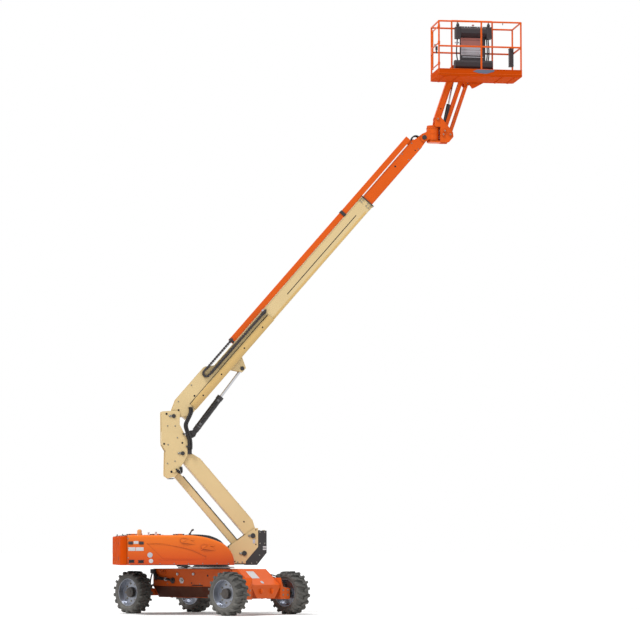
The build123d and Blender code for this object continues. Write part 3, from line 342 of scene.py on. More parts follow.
def shaderGroup(name, inputs, outputs):
    tree = bpy.data.node_groups.new(name, "ShaderNodeTree")
    for label, kind, value in inputs:
        socket = tree.interface.new_socket(label, in_out="INPUT", socket_type="NodeSocket" + kind)
        if value is not None:
            socket.default_value = value
    for label, kind in outputs:
        tree.interface.new_socket(label, in_out="OUTPUT", socket_type="NodeSocket" + kind)
    return tree, node(tree, "NodeGroupInput"), node(tree, "NodeGroupOutput")


def grainGroup():
    # a broad cloud of tone and a fine relief, both in the machine's own coordinates
    tree, entry, leave = shaderGroup(
        "grain",
        (("Scale", "Float", 3.0), ("Fine Scale", "Float", 200.0), ("Depth", "Float", 0.0002),
         ("Normal", "Vector", None)),
        (("Tint", "Float"), ("Fine", "Float"), ("Normal", "Vector")),
    )
    coordinates = node(tree, "ShaderNodeTexCoord")
    broad = node(tree, "ShaderNodeTexNoise", {"Detail": maskValues["broadDetail"]})
    fine = node(tree, "ShaderNodeTexNoise", {"Detail": maskValues["fineDetail"]})
    relief = node(tree, "ShaderNodeBump", {"Strength": 1})
    join(
        tree, (coordinates, "Object", broad, "Vector"), (coordinates, "Object", fine, "Vector"),
        (entry, "Scale", broad, "Scale"), (entry, "Fine Scale", fine, "Scale"), (fine, "Fac", relief, "Height"),
        (entry, "Depth", relief, "Distance"), (entry, "Normal", relief, "Normal"), (broad, "Fac", leave, "Tint"),
        (fine, "Fac", leave, "Fine"), (relief, "Normal", leave, "Normal"),
    )
    return tree


def edgeGroup():
    # softened edges, and a broken mask of where paint rubs thin on them
    tree, entry, leave = shaderGroup(
        "rubbedEdges",
        (("Radius", "Float", 0.004), ("Break Up", "Float", 25.0)),
        (("Worn", "Float"), ("Normal", "Vector")),
    )
    rounded = node(tree, "ShaderNodeBevel", samples=maskValues["bevelSamples"])
    surface = node(tree, "ShaderNodeNewGeometry")
    dot = node(tree, "ShaderNodeVectorMath", operation="DOT_PRODUCT")
    coordinates = node(tree, "ShaderNodeTexCoord")
    noise = node(tree, "ShaderNodeTexNoise")
    edge = node(tree, "ShaderNodeMapRange", maskValues["edge"])
    patch = node(tree, "ShaderNodeMapRange", maskValues["patch"])
    both = node(tree, "ShaderNodeMath", operation="MULTIPLY", use_clamp=True)
    join(
        tree, (entry, "Radius", rounded, "Radius"), (rounded, 0, dot, 0), (surface, "Normal", dot, 1),
        (coordinates, "Object", noise, "Vector"), (entry, "Break Up", noise, "Scale"), (dot, "Value", edge, "Value"),
        (noise, "Fac", patch, "Value"), (edge, 0, both, 0), (patch, 0, both, 1), (both, 0, leave, "Worn"),
        (rounded, 0, leave, "Normal"),
    )
    return tree


def dustGroup():
    # dust that thins out with height above the ground
    tree, entry, leave = shaderGroup(
        "roadDust",
        (("Low", "Float", 0.1), ("High", "Float", 1.2), ("Scale", "Float", 6.0)),
        (("Dust", "Float"),),
    )
    coordinates = node(tree, "ShaderNodeTexCoord")
    split = node(tree, "ShaderNodeSeparateXYZ")
    noise = node(tree, "ShaderNodeTexNoise", {"Detail": maskValues["dustDetail"]})
    height = node(tree, "ShaderNodeMapRange", {"To Min": 1, "To Max": 0})
    both = node(tree, "ShaderNodeMath", operation="MULTIPLY", use_clamp=True)
    join(
        tree, (coordinates, "Object", split, 0), (coordinates, "Object", noise, "Vector"),
        (entry, "Scale", noise, "Scale"), (split, "Z", height, "Value"), (entry, "Low", height, "From Min"),
        (entry, "High", height, "From Max"), (height, 0, both, 0), (noise, "Fac", both, 1), (both, 0, leave, "Dust"),
    )
    return tree


groups = {"grain": grainGroup(), "edges": edgeGroup(), "dust": dustGroup()}


def tone(red, green, blue):
    # a display colour as the linear one that a shader takes
    parts = (red, green, blue)
    return (*(((part / 255 + 0.055) / 1.055) ** 2.4 if part > 10 else part / 3294 for part in parts), 1)


# every finish starts from these and names what differs
plainFinish = {
    "colour": (200, 200, 200), "shade": 0.8, "worn": (90, 84, 80), "rub": 0.35, "dustColour": (150, 136, 116),
    "dust": 0.25, "roughness": 0.4, "spread": 0.12, "metallic": 0.0, "coat": 0.0, "coatRoughness": 0.1,
    "scale": 3.0, "fineScale": 200.0, "depth": 0.0001, "edge": 0.004, "specular": 0.5,
    # painted shade: how much, how far and to what colour paint darkens in creases
    "crease": 0.0, "creaseReach": 0.05, "creaseRange": (1.0, 0.3), "creaseTone": (96, 88, 70),
    # fade: painted light, paint lighter and yellower towards the top
    "fade": None, "fadeAmount": 0.75, "fadeColour": (240, 126, 34),
}
finishValues = {
    "orangePaint": {"colour": (230, 94, 10), "shade": 0.82, "worn": (172, 70, 24), "coat": 0.05, "roughness": 0.42,
                    "specular": 0.2, "crease": 0.4, "creaseTone": (90, 40, 20)},
    # hoodPaint carries painted light, lighter towards the top, and painted shade in its creases
    "hoodPaint": {"colour": (214, 76, 4), "shade": 0.84, "worn": (172, 70, 24), "coat": 0.22, "coatRoughness": 0.05,
                  "roughness": 0.36, "specular": 0.2, "crease": 0.75, "creaseTone": (90, 40, 20), "fade": (1.12, 1.64)},
    "floorPaint": {"colour": (204, 74, 8), "shade": 0.84, "worn": (150, 66, 26), "roughness": 0.8, "specular": 0.03,
                   "rub": 0.2},
    # painted shade: a dark maroon coat for the shaded slopes and the belly under the chassis
    "bellyShadeCoat": {"colour": (92, 40, 26), "roughness": 0.7, "dust": 0.3, "specular": 0.15, "rub": 0.1},
    "plateSteel": {"colour": (104, 112, 134), "roughness": 0.35, "metallic": 0.4, "rub": 0.1},
    "creamPaint": {"colour": (225, 199, 147), "shade": 0.9, "worn": (176, 152, 110), "coat": 0.1, "roughness": 0.4,
                   "specular": 0.3, "crease": 0.35},
    "blackPaint": {"colour": (40, 36, 37), "worn": (74, 70, 68), "roughness": 0.42, "coat": 0.15},
    "chromedRod": {"colour": (206, 206, 210), "metallic": 1.0, "roughness": 0.1, "spread": 0.06, "rub": 0,
                   "dust": 0.05},
    "greyMetal": {"colour": (112, 112, 114), "roughness": 0.55, "metallic": 0.3, "depth": 0.0004},
    "darkPlastic": {"colour": (48, 42, 46), "roughness": 0.55, "fineScale": 900.0, "depth": 0.0003, "rub": 0.15},
    "tyreRubber": {"colour": (72, 71, 69), "shade": 0.7, "worn": (112, 110, 106), "dustColour": (150, 148, 140),
                   "roughness": 0.75, "dust": 0.5, "fineScale": 300.0, "depth": 0.0006, "rub": 0.5, "edge": 0.006},
    "rimPaint": {"colour": (160, 165, 176), "shade": 0.7, "roughness": 0.3, "metallic": 0.7, "dust": 0.12, "rub": 0.1},
    "zincBolt": {"colour": (150, 148, 140), "metallic": 0.85, "roughness": 0.36, "rub": 0},
    "hoseRubber": {"colour": (30, 28, 29), "roughness": 0.5, "fineScale": 600.0, "depth": 0.0002, "rub": 0},
    "amberLens": {"colour": (226, 150, 70), "roughness": 0.12, "coat": 0.5, "rub": 0, "dust": 0.1},
    "stopRed": {"colour": (196, 28, 24), "roughness": 0.3, "coat": 0.4, "rub": 0},
    "plateGrey": {"colour": (196, 198, 206), "roughness": 0.35, "rub": 0.1},
    "plateRose": {"colour": (196, 128, 118), "roughness": 0.4, "rub": 0.1},
    # near-black for dark joints and seams, and painted shade inside holes, slots and recesses
    "darkJointAndRecessShade": {"colour": (20, 17, 18), "roughness": 0.8, "rub": 0},
    "barePlate": {"colour": (216, 214, 216), "roughness": 0.3, "rub": 0.15, "metallic": 0.2},
    # a darker cream, partly the side channels' own tone and partly painted shade on the boom's lower sides and
    # underside
    "channelShadePaint": {"colour": (214, 178, 110), "shade": 0.9, "worn": (150, 124, 84), "coat": 0.2, "roughness": 0.42},
}


def makeFinish(name, values):
    values = {**plainFinish, **values}
    material = bpy.data.materials.new(name)
    material.use_nodes = True
    tree = material.node_tree
    tree.nodes.clear()
    shader = node(tree, "ShaderNodeBsdfPrincipled", {
        "Metallic": values["metallic"], "Specular IOR Level": values["specular"],
        "Coat Weight": values["coat"], "Coat Roughness": values["coatRoughness"],
    })
    leave = node(tree, "ShaderNodeOutputMaterial")
    grain = node(tree, "ShaderNodeGroup", {
        "Scale": values["scale"], "Fine Scale": values["fineScale"], "Depth": values["depth"],
    }, node_tree=groups["grain"])
    edges = node(tree, "ShaderNodeGroup", {"Radius": values["edge"]}, node_tree=groups["edges"])
    dust = node(tree, "ShaderNodeGroup", node_tree=groups["dust"])
    colour = tone(*values["colour"])
    shaded = tuple(part * values["shade"] for part in colour[:3]) + (1,)
    last = None
    layers = (
        (shaded, colour, grain.outputs["Tint"], 1.0),
        (None, tone(*values["worn"]), edges.outputs["Worn"], values["rub"]),
        (None, tone(*values["dustColour"]), dust.outputs["Dust"], values["dust"]),
    )
    for under, over, mask, amount in layers:
        if amount == 0:
            continue
        weight = node(tree, "ShaderNodeMath", {1: amount}, operation="MULTIPLY", use_clamp=True)
        mix = node(tree, "ShaderNodeMix", data_type="RGBA")
        tree.links.new(mask, weight.inputs[0])
        tree.links.new(weight.outputs[0], mix.inputs["Factor"])
        if under:
            mix.inputs[6].default_value = under
        else:
            tree.links.new(last, mix.inputs[6])
        mix.inputs[7].default_value = over
        last = mix.outputs[2]
    if values["fade"]:
        # painted light: the paint turns lighter and yellower towards the top, between two heights, where the light
        # falls most
        spot = node(tree, "ShaderNodeTexCoord")
        heights = node(tree, "ShaderNodeSeparateXYZ")
        low, high = values["fade"]
        rise = node(tree, "ShaderNodeMapRange", {"From Min": low, "From Max": high, "To Max": values["fadeAmount"]})
        litTop = node(tree, "ShaderNodeMix", {7: tone(*values["fadeColour"])}, data_type="RGBA")
        join(tree, (spot, "Object", heights, 0), (heights, "Z", rise, "Value"), (rise, 0, litTop, "Factor"))
        tree.links.new(last, litTop.inputs[6])
        last = litTop.outputs[2]
    if values["crease"]:
        # painted shade: colour darkens inside creases, where little light reaches
        nook = node(tree, "ShaderNodeAmbientOcclusion", {"Distance": values["creaseReach"]}, samples=8)
        bare, deep = values["creaseRange"]
        deepen = node(tree, "ShaderNodeMapRange", {"From Min": bare, "From Max": deep, "To Max": values["crease"]})
        darker = node(tree, "ShaderNodeMix", {7: tone(*values["creaseTone"])}, data_type="RGBA", blend_type="MULTIPLY")
        join(tree, (nook, "AO", deepen, "Value"), (deepen, 0, darker, "Factor"))
        tree.links.new(last, darker.inputs[6])
        last = darker.outputs[2]
    tree.links.new(last, shader.inputs["Base Color"])
    spread = values["spread"] / 2
    gloss = node(tree, "ShaderNodeMapRange", {
        "To Min": max(0.02, values["roughness"] - spread), "To Max": min(1.0, values["roughness"] + spread),
    })
    join(
        tree, (grain, "Fine", gloss, "Value"), (gloss, 0, shader, "Roughness"), (edges, "Normal", grain, "Normal"),
        (grain, "Normal", shader, "Normal"),
    )
    tree.links.new(shader.outputs[0], leave.inputs["Surface"])
    return material


finishes = {name: makeFinish(name, values) for name, values in finishValues.items()}
# the colour slot named for each finish, and the finish that each slot of the CAD nodes takes
slotOf = {
    "orangePaint": "orange_paint", "hoodPaint": "orange_paint", "floorPaint": "orange_paint",
    "creamPaint": "cream_paint", "channelShadePaint": "cream_paint",
    "blackPaint": "black_paint", "bellyShadeCoat": "black_paint", "darkJointAndRecessShade": "black_paint",
    "chromedRod": "chromed_rod", "greyMetal": "grey_metal", "zincBolt": "grey_metal", "barePlate": "grey_metal",
    "darkPlastic": "dark_plastic", "hoseRubber": "dark_plastic", "plateSteel": "dark_plastic",
    "plateGrey": "dark_plastic", "plateRose": "dark_plastic", "stopRed": "dark_plastic",
    "tyreRubber": "tyre_rubber",
}
slotFinishes = {
    "orange_paint": "orangePaint", "cream_paint": "creamPaint", "black_paint": "blackPaint",
    "chromed_rod": "chromedRod", "grey_metal": "greyMetal", "dark_plastic": "darkPlastic",
    "tyre_rubber": "tyreRubber", "rim_paint": "rimPaint", "amber_lens": "amberLens",
}
for cadNode in nodes.values():
    for place in cadNode.material_slots:
        place.material = finishes[slotFinishes[place.material.name.split(".")[0]]]
print("finishes made:", len(finishes))

# ground, light and camera
lightValues = {
    "fill": 0.54, "key": 2.6, "keyFrom": (-0.62, -0.48, 1.3), "keyAngle": 14.0,
    "ground": 0.86, "groundReach": 400, "groundGlow": 0.12,
}


def backdropWorld():
    world = bpy.data.worlds.new("studio")
    world.use_nodes = True
    tree = world.node_tree
    tree.nodes.clear()
    rays = node(tree, "ShaderNodeLightPath")
    seen = node(tree, "ShaderNodeMath", operation="MAXIMUM")
    clear = node(tree, "ShaderNodeMath", operation="MAXIMUM")
    level = node(tree, "ShaderNodeMapRange", {"To Min": lightValues["fill"], "To Max": 1.0})
    background = node(tree, "ShaderNodeBackground", {"Color": (1, 1, 1, 1)})
    leave = node(tree, "ShaderNodeOutputWorld")
    join(
        tree, (rays, "Is Camera Ray", seen, 0), (rays, "Is Glossy Ray", seen, 1), (seen, 0, clear, 0),
        (rays, "Is Transmission Ray", clear, 1), (clear, 0, level, "Value"), (level, 0, background, "Strength"),
        (background, 0, leave, "Surface"),
    )
    scene.world = world


def studioGround():
    mesh = bpy.data.meshes.new("studioFloor")
    reach = lightValues["groundReach"]
    corners = [(-reach, -reach, 0), (reach, -reach, 0), (reach, reach, 0), (-reach, reach, 0)]
    mesh.from_pydata(corners, [], [(0, 1, 2, 3)])
    floor = placed("studioFloor", mesh)
    material = bpy.data.materials.new("paleFloor")
    material.use_nodes = True
    tree = material.node_tree
    tree.nodes.clear()
    matt = node(tree, "ShaderNodeBsdfDiffuse", {"Color": (lightValues["ground"],) * 3 + (1,)})
    glow = node(tree, "ShaderNodeEmission")
    both = node(tree, "ShaderNodeAddShader")
    leave = node(tree, "ShaderNodeOutputMaterial")
    rays = node(tree, "ShaderNodeLightPath")
    lift = node(tree, "ShaderNodeMath", {1: lightValues["groundGlow"]}, operation="MULTIPLY")
    join(
        tree, (rays, "Is Camera Ray", lift, 0), (lift, 0, glow, "Strength"), (matt, 0, both, 0), (glow, 0, both, 1),
        (both, 0, leave, "Surface"),
    )
    mesh.materials.append(material)


def keyLight():
    light = bpy.data.lights.new("softKey", "SUN")
    light.energy = lightValues["key"]
    light.angle = math.radians(lightValues["keyAngle"])
    lamp = placed("softKey", light)
    lamp.rotation_euler = Vector(lightValues["keyFrom"]).to_track_quat("Z", "Y").to_euler()


cameraValues = {
    "place": (-8.915, -61.365, 1.48), "heading": 8.34, "rise": 4.46, "lens": 161.8, "sensor": 36.0, "reach": 1500,
}


def placeCamera():
    lens = bpy.data.cameras.new("viewer")
    lens.lens = cameraValues["lens"]
    lens.sensor_width = cameraValues["sensor"]
    lens.clip_end = cameraValues["reach"]
    camera = placed("viewer", lens)
    heading = math.radians(cameraValues["heading"])
    rise = math.radians(cameraValues["rise"])
    sight = Vector((math.sin(heading) * math.cos(rise), math.cos(heading) * math.cos(rise), math.sin(rise)))
    camera.location = cameraValues["place"]
    camera.rotation_euler = sight.to_track_quat("-Z", "Y").to_euler()
    scene.camera = camera


scene.view_settings.view_transform = "Standard"
backdropWorld()
studioGround()
keyLight()
placeCamera()
print("stage, light and camera set")

# wheels
tyreValues = {
    "lugs": 18, "steps": 72, "firstAngle": 0.0, "lugEdge": 0.004, "lugTop": 0.92, "lugFoot": 1.12,
    # axial place, lug top, lug foot, lean round the tread and half thickness
    "lug": (
        (-0.012, 0.4555, 0.402, 0.026, 0.022), (0.02, 0.4568, 0.402, 0.019, 0.0235), (0.1, 0.4568, 0.402, 0.0, 0.0255),
        (0.155, 0.4545, 0.396, -0.016, 0.0265), (0.172, 0.436, 0.386, -0.022, 0.0265),
        (0.1785, 0.405, 0.376, -0.026, 0.024),
    ),
    # radius and axial place of half the sidewall
    "wall": ((0.292, 0.15), (0.3, 0.159), (0.318, 0.16), (0.33, 0.168), (0.345, 0.1735), (0.352, 0.1705),
             (0.37, 0.172), (0.388, 0.166), (0.404, 0.15), (0.4125, 0.12), (0.415, 0.06)),
}
hubValues = {
    "nuts": 9, "nutRing": 0.19, "firstAngle": 0.2, "disc": 0.033, "valvePlace": (0.262, 0, 0.03), "valveTurn": 130,
    # radius and height of each turned form, outwards along the axle
    "nut": ((0, 0.024), (0.011, 0.024), (0.017, 0.018), (0.017, 0.0), (0, 0)),
    "washer": ((0.024, 0), (0.024, 0.003), (0, 0.003)),
    "cover": ((0.114, 0.03), (0.114, 0.05), (0.106, 0.104), (0.09, 0.112), (0.05, 0.112), (0.044, 0.12), (0, 0.122)),
    "valve": ((0, 0), (0.008, 0), (0.008, 0.02), (0.005, 0.024), (0.005, 0.05), (0, 0.052)),
}


def tyreMesh(finish):
    values = tyreValues
    work = bmesh.new()
    profile = (*values["wall"], *((radius, -place) for radius, place in reversed(values["wall"])))
    addLathe(work, Matrix.Identity(4), profile, values["steps"], closed=True)
    joined = bmesh.new()
    joined.from_mesh(meshFrom("carcass", work))
    pitch = math.tau / values["lugs"]
    for side in (1, -1):
        lug = bmesh.new()
        rings = []
        for place, top, foot, lean, thick in values["lug"]:
            ring = []
            narrow, wide = values["lugTop"], values["lugFoot"]
            for radius, way in ((top, -narrow), (top, narrow), (foot, wide), (foot, -wide)):
                angle = (lean + way * thick) / radius
                ring.append((radius * math.cos(angle), radius * math.sin(angle), side * place))
            rings.append(ring)
        addLoft(lug, rings)
        bmesh.ops.bevel(lug, geom=list(lug.edges), offset=values["lugEdge"], segments=1, affect="EDGES")
        first = values["firstAngle"] + pitch / 4 * (1 - side)
        joined.from_mesh(copies("ring", lug, finish, Count=values["lugs"], FirstAngle=first))
    return meshFrom("tyre", joined)


def wheelPieces():
    corners = (("steer_left", 1), ("steer_right", -1), ("drive_left", 1), ("drive_right", -1))
    values = hubValues
    rubber = tyreMesh("tyreRubber")
    for name, side in corners:
        body = "wheel_" + name
        outward = axisOf("roll_" + name) * side
        place = seat(pivot("roll_" + name), outward, up)
        tyre = rubber.copy()
        tyre.transform(place)
        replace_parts(keep("lugged_tyre_" + name, tyre, body, "tyreRubber", 30), "tyre_" + name)
        nut = bmesh.new()
        spot = Matrix.Translation((values["nutRing"], 0, values["disc"]))
        addLathe(nut, spot, values["nut"], 6)
        addLathe(nut, spot, values["washer"], 16)
        nuts = copies("ring", nut, "zincBolt", Count=values["nuts"], FirstAngle=values["firstAngle"])
        nuts.transform(place)
        keep("wheel_nuts_" + name, nuts, body, "zincBolt")
        cap = bmesh.new()
        addLathe(cap, place, values["cover"], 40)
        keepWork("hub_cover_" + name, cap, body, "blackPaint")
        valve = bmesh.new()
        stem = moved(turned(place, values["valveTurn"], "Z"), *values["valvePlace"])
        addLathe(valve, stem, values["valve"], 10)
        keepWork("valve_stem_" + name, valve, body, "hoseRubber")


wheelPieces()
print("wheels made")

# pins and bolts
boltValues = {"across": 0.014, "high": 0.011, "washer": 0.019, "ringCount": 32, "ringInset": 0.03, "ringSize": 1.3}


def boltHead(size=1.0):
    work = bmesh.new()
    across = boltValues["across"] * size
    high = boltValues["high"] * size
    washer = boltValues["washer"] * size
    addLathe(work, Matrix.Identity(4), ((washer, 0), (washer, 0.003 * size), (across, 0.003 * size)), 14)
    addLathe(work, Matrix.Identity(4), ((across, 0.0), (across, high * 0.8), (across * 0.8, high), (0, high)), 6)
    return work


# joint, height of the pin's end from the middle plane, body, radius of its collar
pinEnds = (
    ("tower_lift", 0.191, "turntable", 0.052), ("tower_link_pivot", 0.191, "turntable", 0.052),
    ("upright_level", 0.191, "upright", 0.042), ("boom_lift", 0.191, "upright", 0.042),
    ("nose_level", 0.14, "nose", 0.05),
)
pinValues = {
    "sink": 0.014, "keeper": ((-0.02, -0.035), (0.02, -0.035), (0.02, 0.03), (-0.02, 0.03)), "thick": 0.01,
    "keeperPlace": (0.0, 0.075, 0.006), "boltPlace": (0.0, 0.088, 0.011),
}


def pinPieces():
    for name, reach, body, radius in pinEnds:
        work = bmesh.new()
        plate = bmesh.new()
        spots = []
        for side in (-1, 1):
            place = seat(pivot(name) + Vector((0, side * (reach - pinValues["sink"]), 0)), (0, side, 0), up)
            rim = ((radius, 0), (radius, 0.012), (radius - 0.004, 0.016), (radius - 0.016, 0.018), (0, 0.018))
            addLathe(work, place, rim, 32)
            if name == "nose_level":
                continue
            addPrism(plate, moved(place, *pinValues["keeperPlace"]), pinValues["keeper"], pinValues["thick"], 0.002)
            spots.append(moved(place, *pinValues["boltPlace"]))
        keepWork("pin_collar_" + name, work, body, "blackPaint")
        if spots:
            keepWork("pin_keeper_" + name, plate, body, "zincBolt")
            onSpots("pin_bolts_" + name, boltHead(), spots, body, "zincBolt")


pinPieces()


def ringBolts():
    low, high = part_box("slew_ring")
    bolt = boltHead(boltValues["ringSize"])
    bolt.transform(Matrix.Translation(((high.x - low.x) / 2 - boltValues["ringInset"], 0, 0)))
    mesh = copies("ring", bolt, "zincBolt", Count=boltValues["ringCount"], FirstAngle=0.0)
    mesh.transform(Matrix.Translation((swingAxis.x, 0, high.z)))
    keep("slew_ring_bolts", mesh, "chassis", "zincBolt")


ringBolts()
print("pins and bolts made")

# the links of the cable chain, laid round the loop's own line
chainValues = {
    "side": -0.18, "bend": (1.15, 0.075), "turn": 0.068, "upper": 2.05, "lower": 3.01,
    "pitch": 0.06, "high": 0.044, "wide": 0.05, "bendSteps": 19, "cheek": 0.008, "pinRadius": 0.012,
    "trayStart": 1.22, "trayWide": 0.07, "trayThick": 0.005, "trayGap": 0.006,
}


def cableChain():
    values = chainValues
    curve = bpy.data.curves.new("chainLine", "CURVE")
    curve.dimensions = "3D"
    line = curve.splines.new("POLY")
    (bendX, bendY), turn = values["bend"], values["turn"]
    points = [(values["lower"], bendY - turn)]
    for step in range(values["bendSteps"]):
        angle = math.radians(-90 - 180 / (values["bendSteps"] - 1) * step)
        points.append((bendX + turn * math.cos(angle), bendY + turn * math.sin(angle)))
    points.append((values["upper"], bendY + turn))
    line.points.add(len(points) - 1)
    for point, place in zip(line.points, points):
        point.co = (*place, 0, 1)
    path = placed("chainLine", curve)
    link = bmesh.new()
    half = values["high"] / 2
    cheek = ((-0.026, -half * 0.6), (-0.018, -half), (0.018, -half), (0.026, -half * 0.6), (0.026, half * 0.6),
             (0.018, half), (-0.018, half), (-0.026, half * 0.6))
    for side in (-1, 1):
        middle = side * (values["wide"] - values["cheek"]) / 2
        addPrism(link, Matrix.Translation((0, 0, middle)), cheek, values["cheek"], 0.0015)
        addLathe(link, Matrix.Translation((0.03, 0, side * (values["wide"] / 2 - 0.003))),
                 ((0, -0.004), (values["pinRadius"], -0.004), (values["pinRadius"], 0.004), (0, 0.004)), 10)
    for height in (-half * 0.85, half * 0.85):
        addBox(link, Matrix.Translation((0, height, 0)), (0.03, 0.005, values["wide"] - 0.008))
    addBox(link, Matrix.Identity(4), (0.062, half, values["wide"] - 0.02))
    mesh = copies("path", link, "darkPlastic", Path=path, Spacing=values["pitch"])
    bpy.data.objects.remove(path)
    place = boomSeat @ Matrix.Rotation(math.radians(90), 4, "X")
    place.translation += Vector((0, values["side"], 0))
    mesh.transform(place)
    keep("cable_chain_links", mesh, "main_boom", "darkPlastic", slotName="black_paint")
    tray = bmesh.new()
    addBox(tray, moved(boomSeat, 2.96, values["side"] + 0.025, 0), (0.09, 0.05, 0.07), 0.004)
    start = values["trayStart"]
    for reach, way in ((values["upper"], 1), (values["lower"], -1)):
        high = bendY + way * turn - half - values["trayGap"]
        place = moved(boomSeat, (reach + start) / 2, values["side"] + 0.012, high)
        addBox(tray, place, (reach - start, values["trayWide"], values["trayThick"]), 0.001)
    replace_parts(keepWork("chain_trays", tray, "main_boom", "blackPaint"), "cable_chain")


cableChain()
print("cable chain made")

# tables of small forms: each row names a form, then gives its place in the seat's own axes
upright = {"x": Vector((1, 0, 0)), "y": Vector((0, 1, 0)), "z": Vector((0, 0, 1))}


def facing(base, place, axis):
    # a seat at a place, whose z points along one of the base's axes
    direction = base.to_3x3() @ (upright[axis[-1]] * (-1 if axis.startswith("-") else 1))
    across = base.to_3x3() @ upright["z" if axis[-1] == "x" else "x"]
    return seat(base @ Vector(place), direction, across)


def boxRow(work, base, place, size, bevel=0.003, tilt=0.0):
    addBox(work, turned(moved(base, *place), tilt, "Y"), size, bevel)


def rodRow(work, base, start, end, radius, steps=16):
    addRod(work, base @ Vector(start), base @ Vector(end), radius, steps)


def pipeRow(work, base, points, radius):
    addHose(work, [base @ Vector(point) for point in points], radius)


def drumRow(work, base, place, axis, radius, high, steps=28):
    # a turned boss with a softened rim, standing on its place
    edge = min(0.2 * radius, 0.3 * high)
    profile = ((0, 0), (radius, 0), (radius, high - edge), (radius - edge, high), (0, high))
    addLathe(work, facing(base, place, axis), profile, steps)


def ringRow(work, base, place, axis, radius, thick, steps=32):
    # a round ring of round stock
    angles = [math.tau * step / 10 for step in range(10)]
    profile = [(radius + thick * math.cos(angle), thick * math.sin(angle)) for angle in angles]
    addLathe(work, facing(base, place, axis), profile, steps, closed=True)


def turnRow(work, base, place, axis, profile, steps=28):
    addLathe(work, facing(base, place, axis), profile, steps)


def plateRow(work, base, place, axis, outline, thick, bevel=0.0015):
    addPrism(work, facing(base, place, axis), outline, thick, bevel)


rowMakers = {
    "box": boxRow, "rod": rodRow, "pipe": pipeRow, "drum": drumRow, "ring": ringRow, "turn": turnRow, "plate": plateRow,
}


def assemble(prefix, body, base, parts):
    for label, (finish, rows) in parts.items():
        work = bmesh.new()
        for kind, *values in rows:
            rowMakers[kind](work, base, *values)
        keepWork(prefix + "_" + label, work, body, finish)


def bolts(name, body, base, rows, size=1.0):
    places = [facing(base, place, axis) for axis, spots in rows for place in spots]
    onSpots(name, boltHead(size), places, body, "zincBolt")


# the two sides of the machine: which way each one faces, and its name
outwards = {-1: "-y", 1: "y"}
sideNames = {-1: "right", 1: "left"}


def mirrored(base, side):
    return base @ Matrix.Diagonal((1, side, 1, 1))


def twins(kind, spots, *values):
    # boxes or drums at each spot and at its mirror image over the middle plane, the drums facing outwards
    rows = []
    for side, axis in outwards.items():
        way = [axis] if kind == "drum" else []
        rows += [(kind, (x, side * y, z), *way, *values) for x, y, z in spots]
    return rows


def seamRows(start, end, reach, heights, radius, steps=8):
    # beads along both flanks of a beam
    return [
        ("rod", (start, side * reach, high), (end, side * reach, high), radius, steps)
        for side in outwards for high in heights
    ]


def sideBolts(name, side, body, base, spots, size):
    # bolt heads on one flank, facing outwards
    places = [(x, side * y, z) for x, y, z in spots]
    bolts(name + "_" + sideNames[side], body, base, ((outwards[side], places),), size)


# chassis
motorPlate = ((-0.075, 0), (-0.02, -0.06), (0.04, -0.06), (0.075, 0), (0.02, 0.06), (-0.04, 0.06))
flankParts = {
    "hose_block": ("darkPlastic", [
        ("box", (-1.31, 0.462, 0.905), (0.13, 0.06, 0.09), 0.012),
        ("box", (-1.24, 0.455, 0.79), (0.05, 0.05, 0.14), 0.01),
        ("drum", (-0.726, 0.43, 0.708), "y", 0.062, 0.03), ("drum", (-0.726, 0.46, 0.708), "y", 0.036, 0.03),
    ]),
    "hoses": ("hoseRubber", [
        ("pipe", ((-1.27, 0.47, 0.9), (-1.2, 0.49, 0.82), (-1.12, 0.47, 0.77), (-0.92, 0.462, 0.745)), 0.019),
        ("pipe", ((-1.3, 0.47, 0.88), (-1.23, 0.49, 0.76), (-1.1, 0.47, 0.735), (-0.92, 0.462, 0.722)), 0.014),
        ("pipe", ((-1.33, 0.47, 0.87), (-1.36, 0.49, 0.75), (-1.4, 0.46, 0.64), (-1.44, 0.44, 0.54)), 0.016),
        ("pipe", ((-0.92, 0.462, 0.735), (-0.86, 0.465, 0.735), (-0.8, 0.462, 0.72), (-0.75, 0.45, 0.71)), 0.022),
    ]),
    "grey_fittings": ("barePlate", [
        ("plate", (-0.457, 0.434, 0.71), "y", motorPlate, 0.014),
        ("drum", (-0.457, 0.44, 0.71), "y", 0.03, 0.035), ("drum", (-0.581, 0.43, 0.848), "y", 0.03, 0.028),
        ("drum", (-0.093, 0.43, 0.851), "y", 0.03, 0.028), ("drum", (-0.93, 0.43, 0.735), "y", 0.04, 0.05),
        ("drum", (-1.348, 0.43, 0.6), "y", 0.022, 0.03),
    ]),
    # painted shade: flat black discs and a strip stand for holes and a recess in the flank
    "recesses": ("darkJointAndRecessShade", [
        ("drum", (0.335, 0.43, 0.818), "y", 0.024, 0.002), ("drum", (0.72, 0.43, 0.7), "y", 0.02, 0.002),
        ("drum", (-0.15, 0.43, 0.66), "y", 0.016, 0.002), ("box", (0.02, 0.431, 0.612), (0.34, 0.002, 0.02), 0.0005),
    ]),
    "weld_beads": ("orangePaint", [("rod", start, end, 0.006, 8) for start, end in (
        ((-1.33, 0.432, 0.955), (1.2, 0.432, 0.955)), ((-1.33, 0.43, 0.592), (1.63, 0.43, 0.592)),
        ((-1.33, 0.262, 0.352), (1.63, 0.262, 0.352)), ((1.238, 0.436, 0.36), (1.238, 0.436, 0.76)),
        ((1.662, 0.436, 0.36), (1.662, 0.436, 0.6)),
    )]),
}
for side, name in sideNames.items():
    assemble("flank_" + name, "chassis", mirrored(chassisSeat, side), flankParts)
    bolts("flank_bolts_" + name, "chassis", mirrored(chassisSeat, side), (
        ("y", [(-0.5, 0.442, 0.71), (-0.415, 0.442, 0.71), *((x, 0.43, 0.64) for x in (0.1, 0.5, -0.9, 0.9))]),
    ), 0.8)

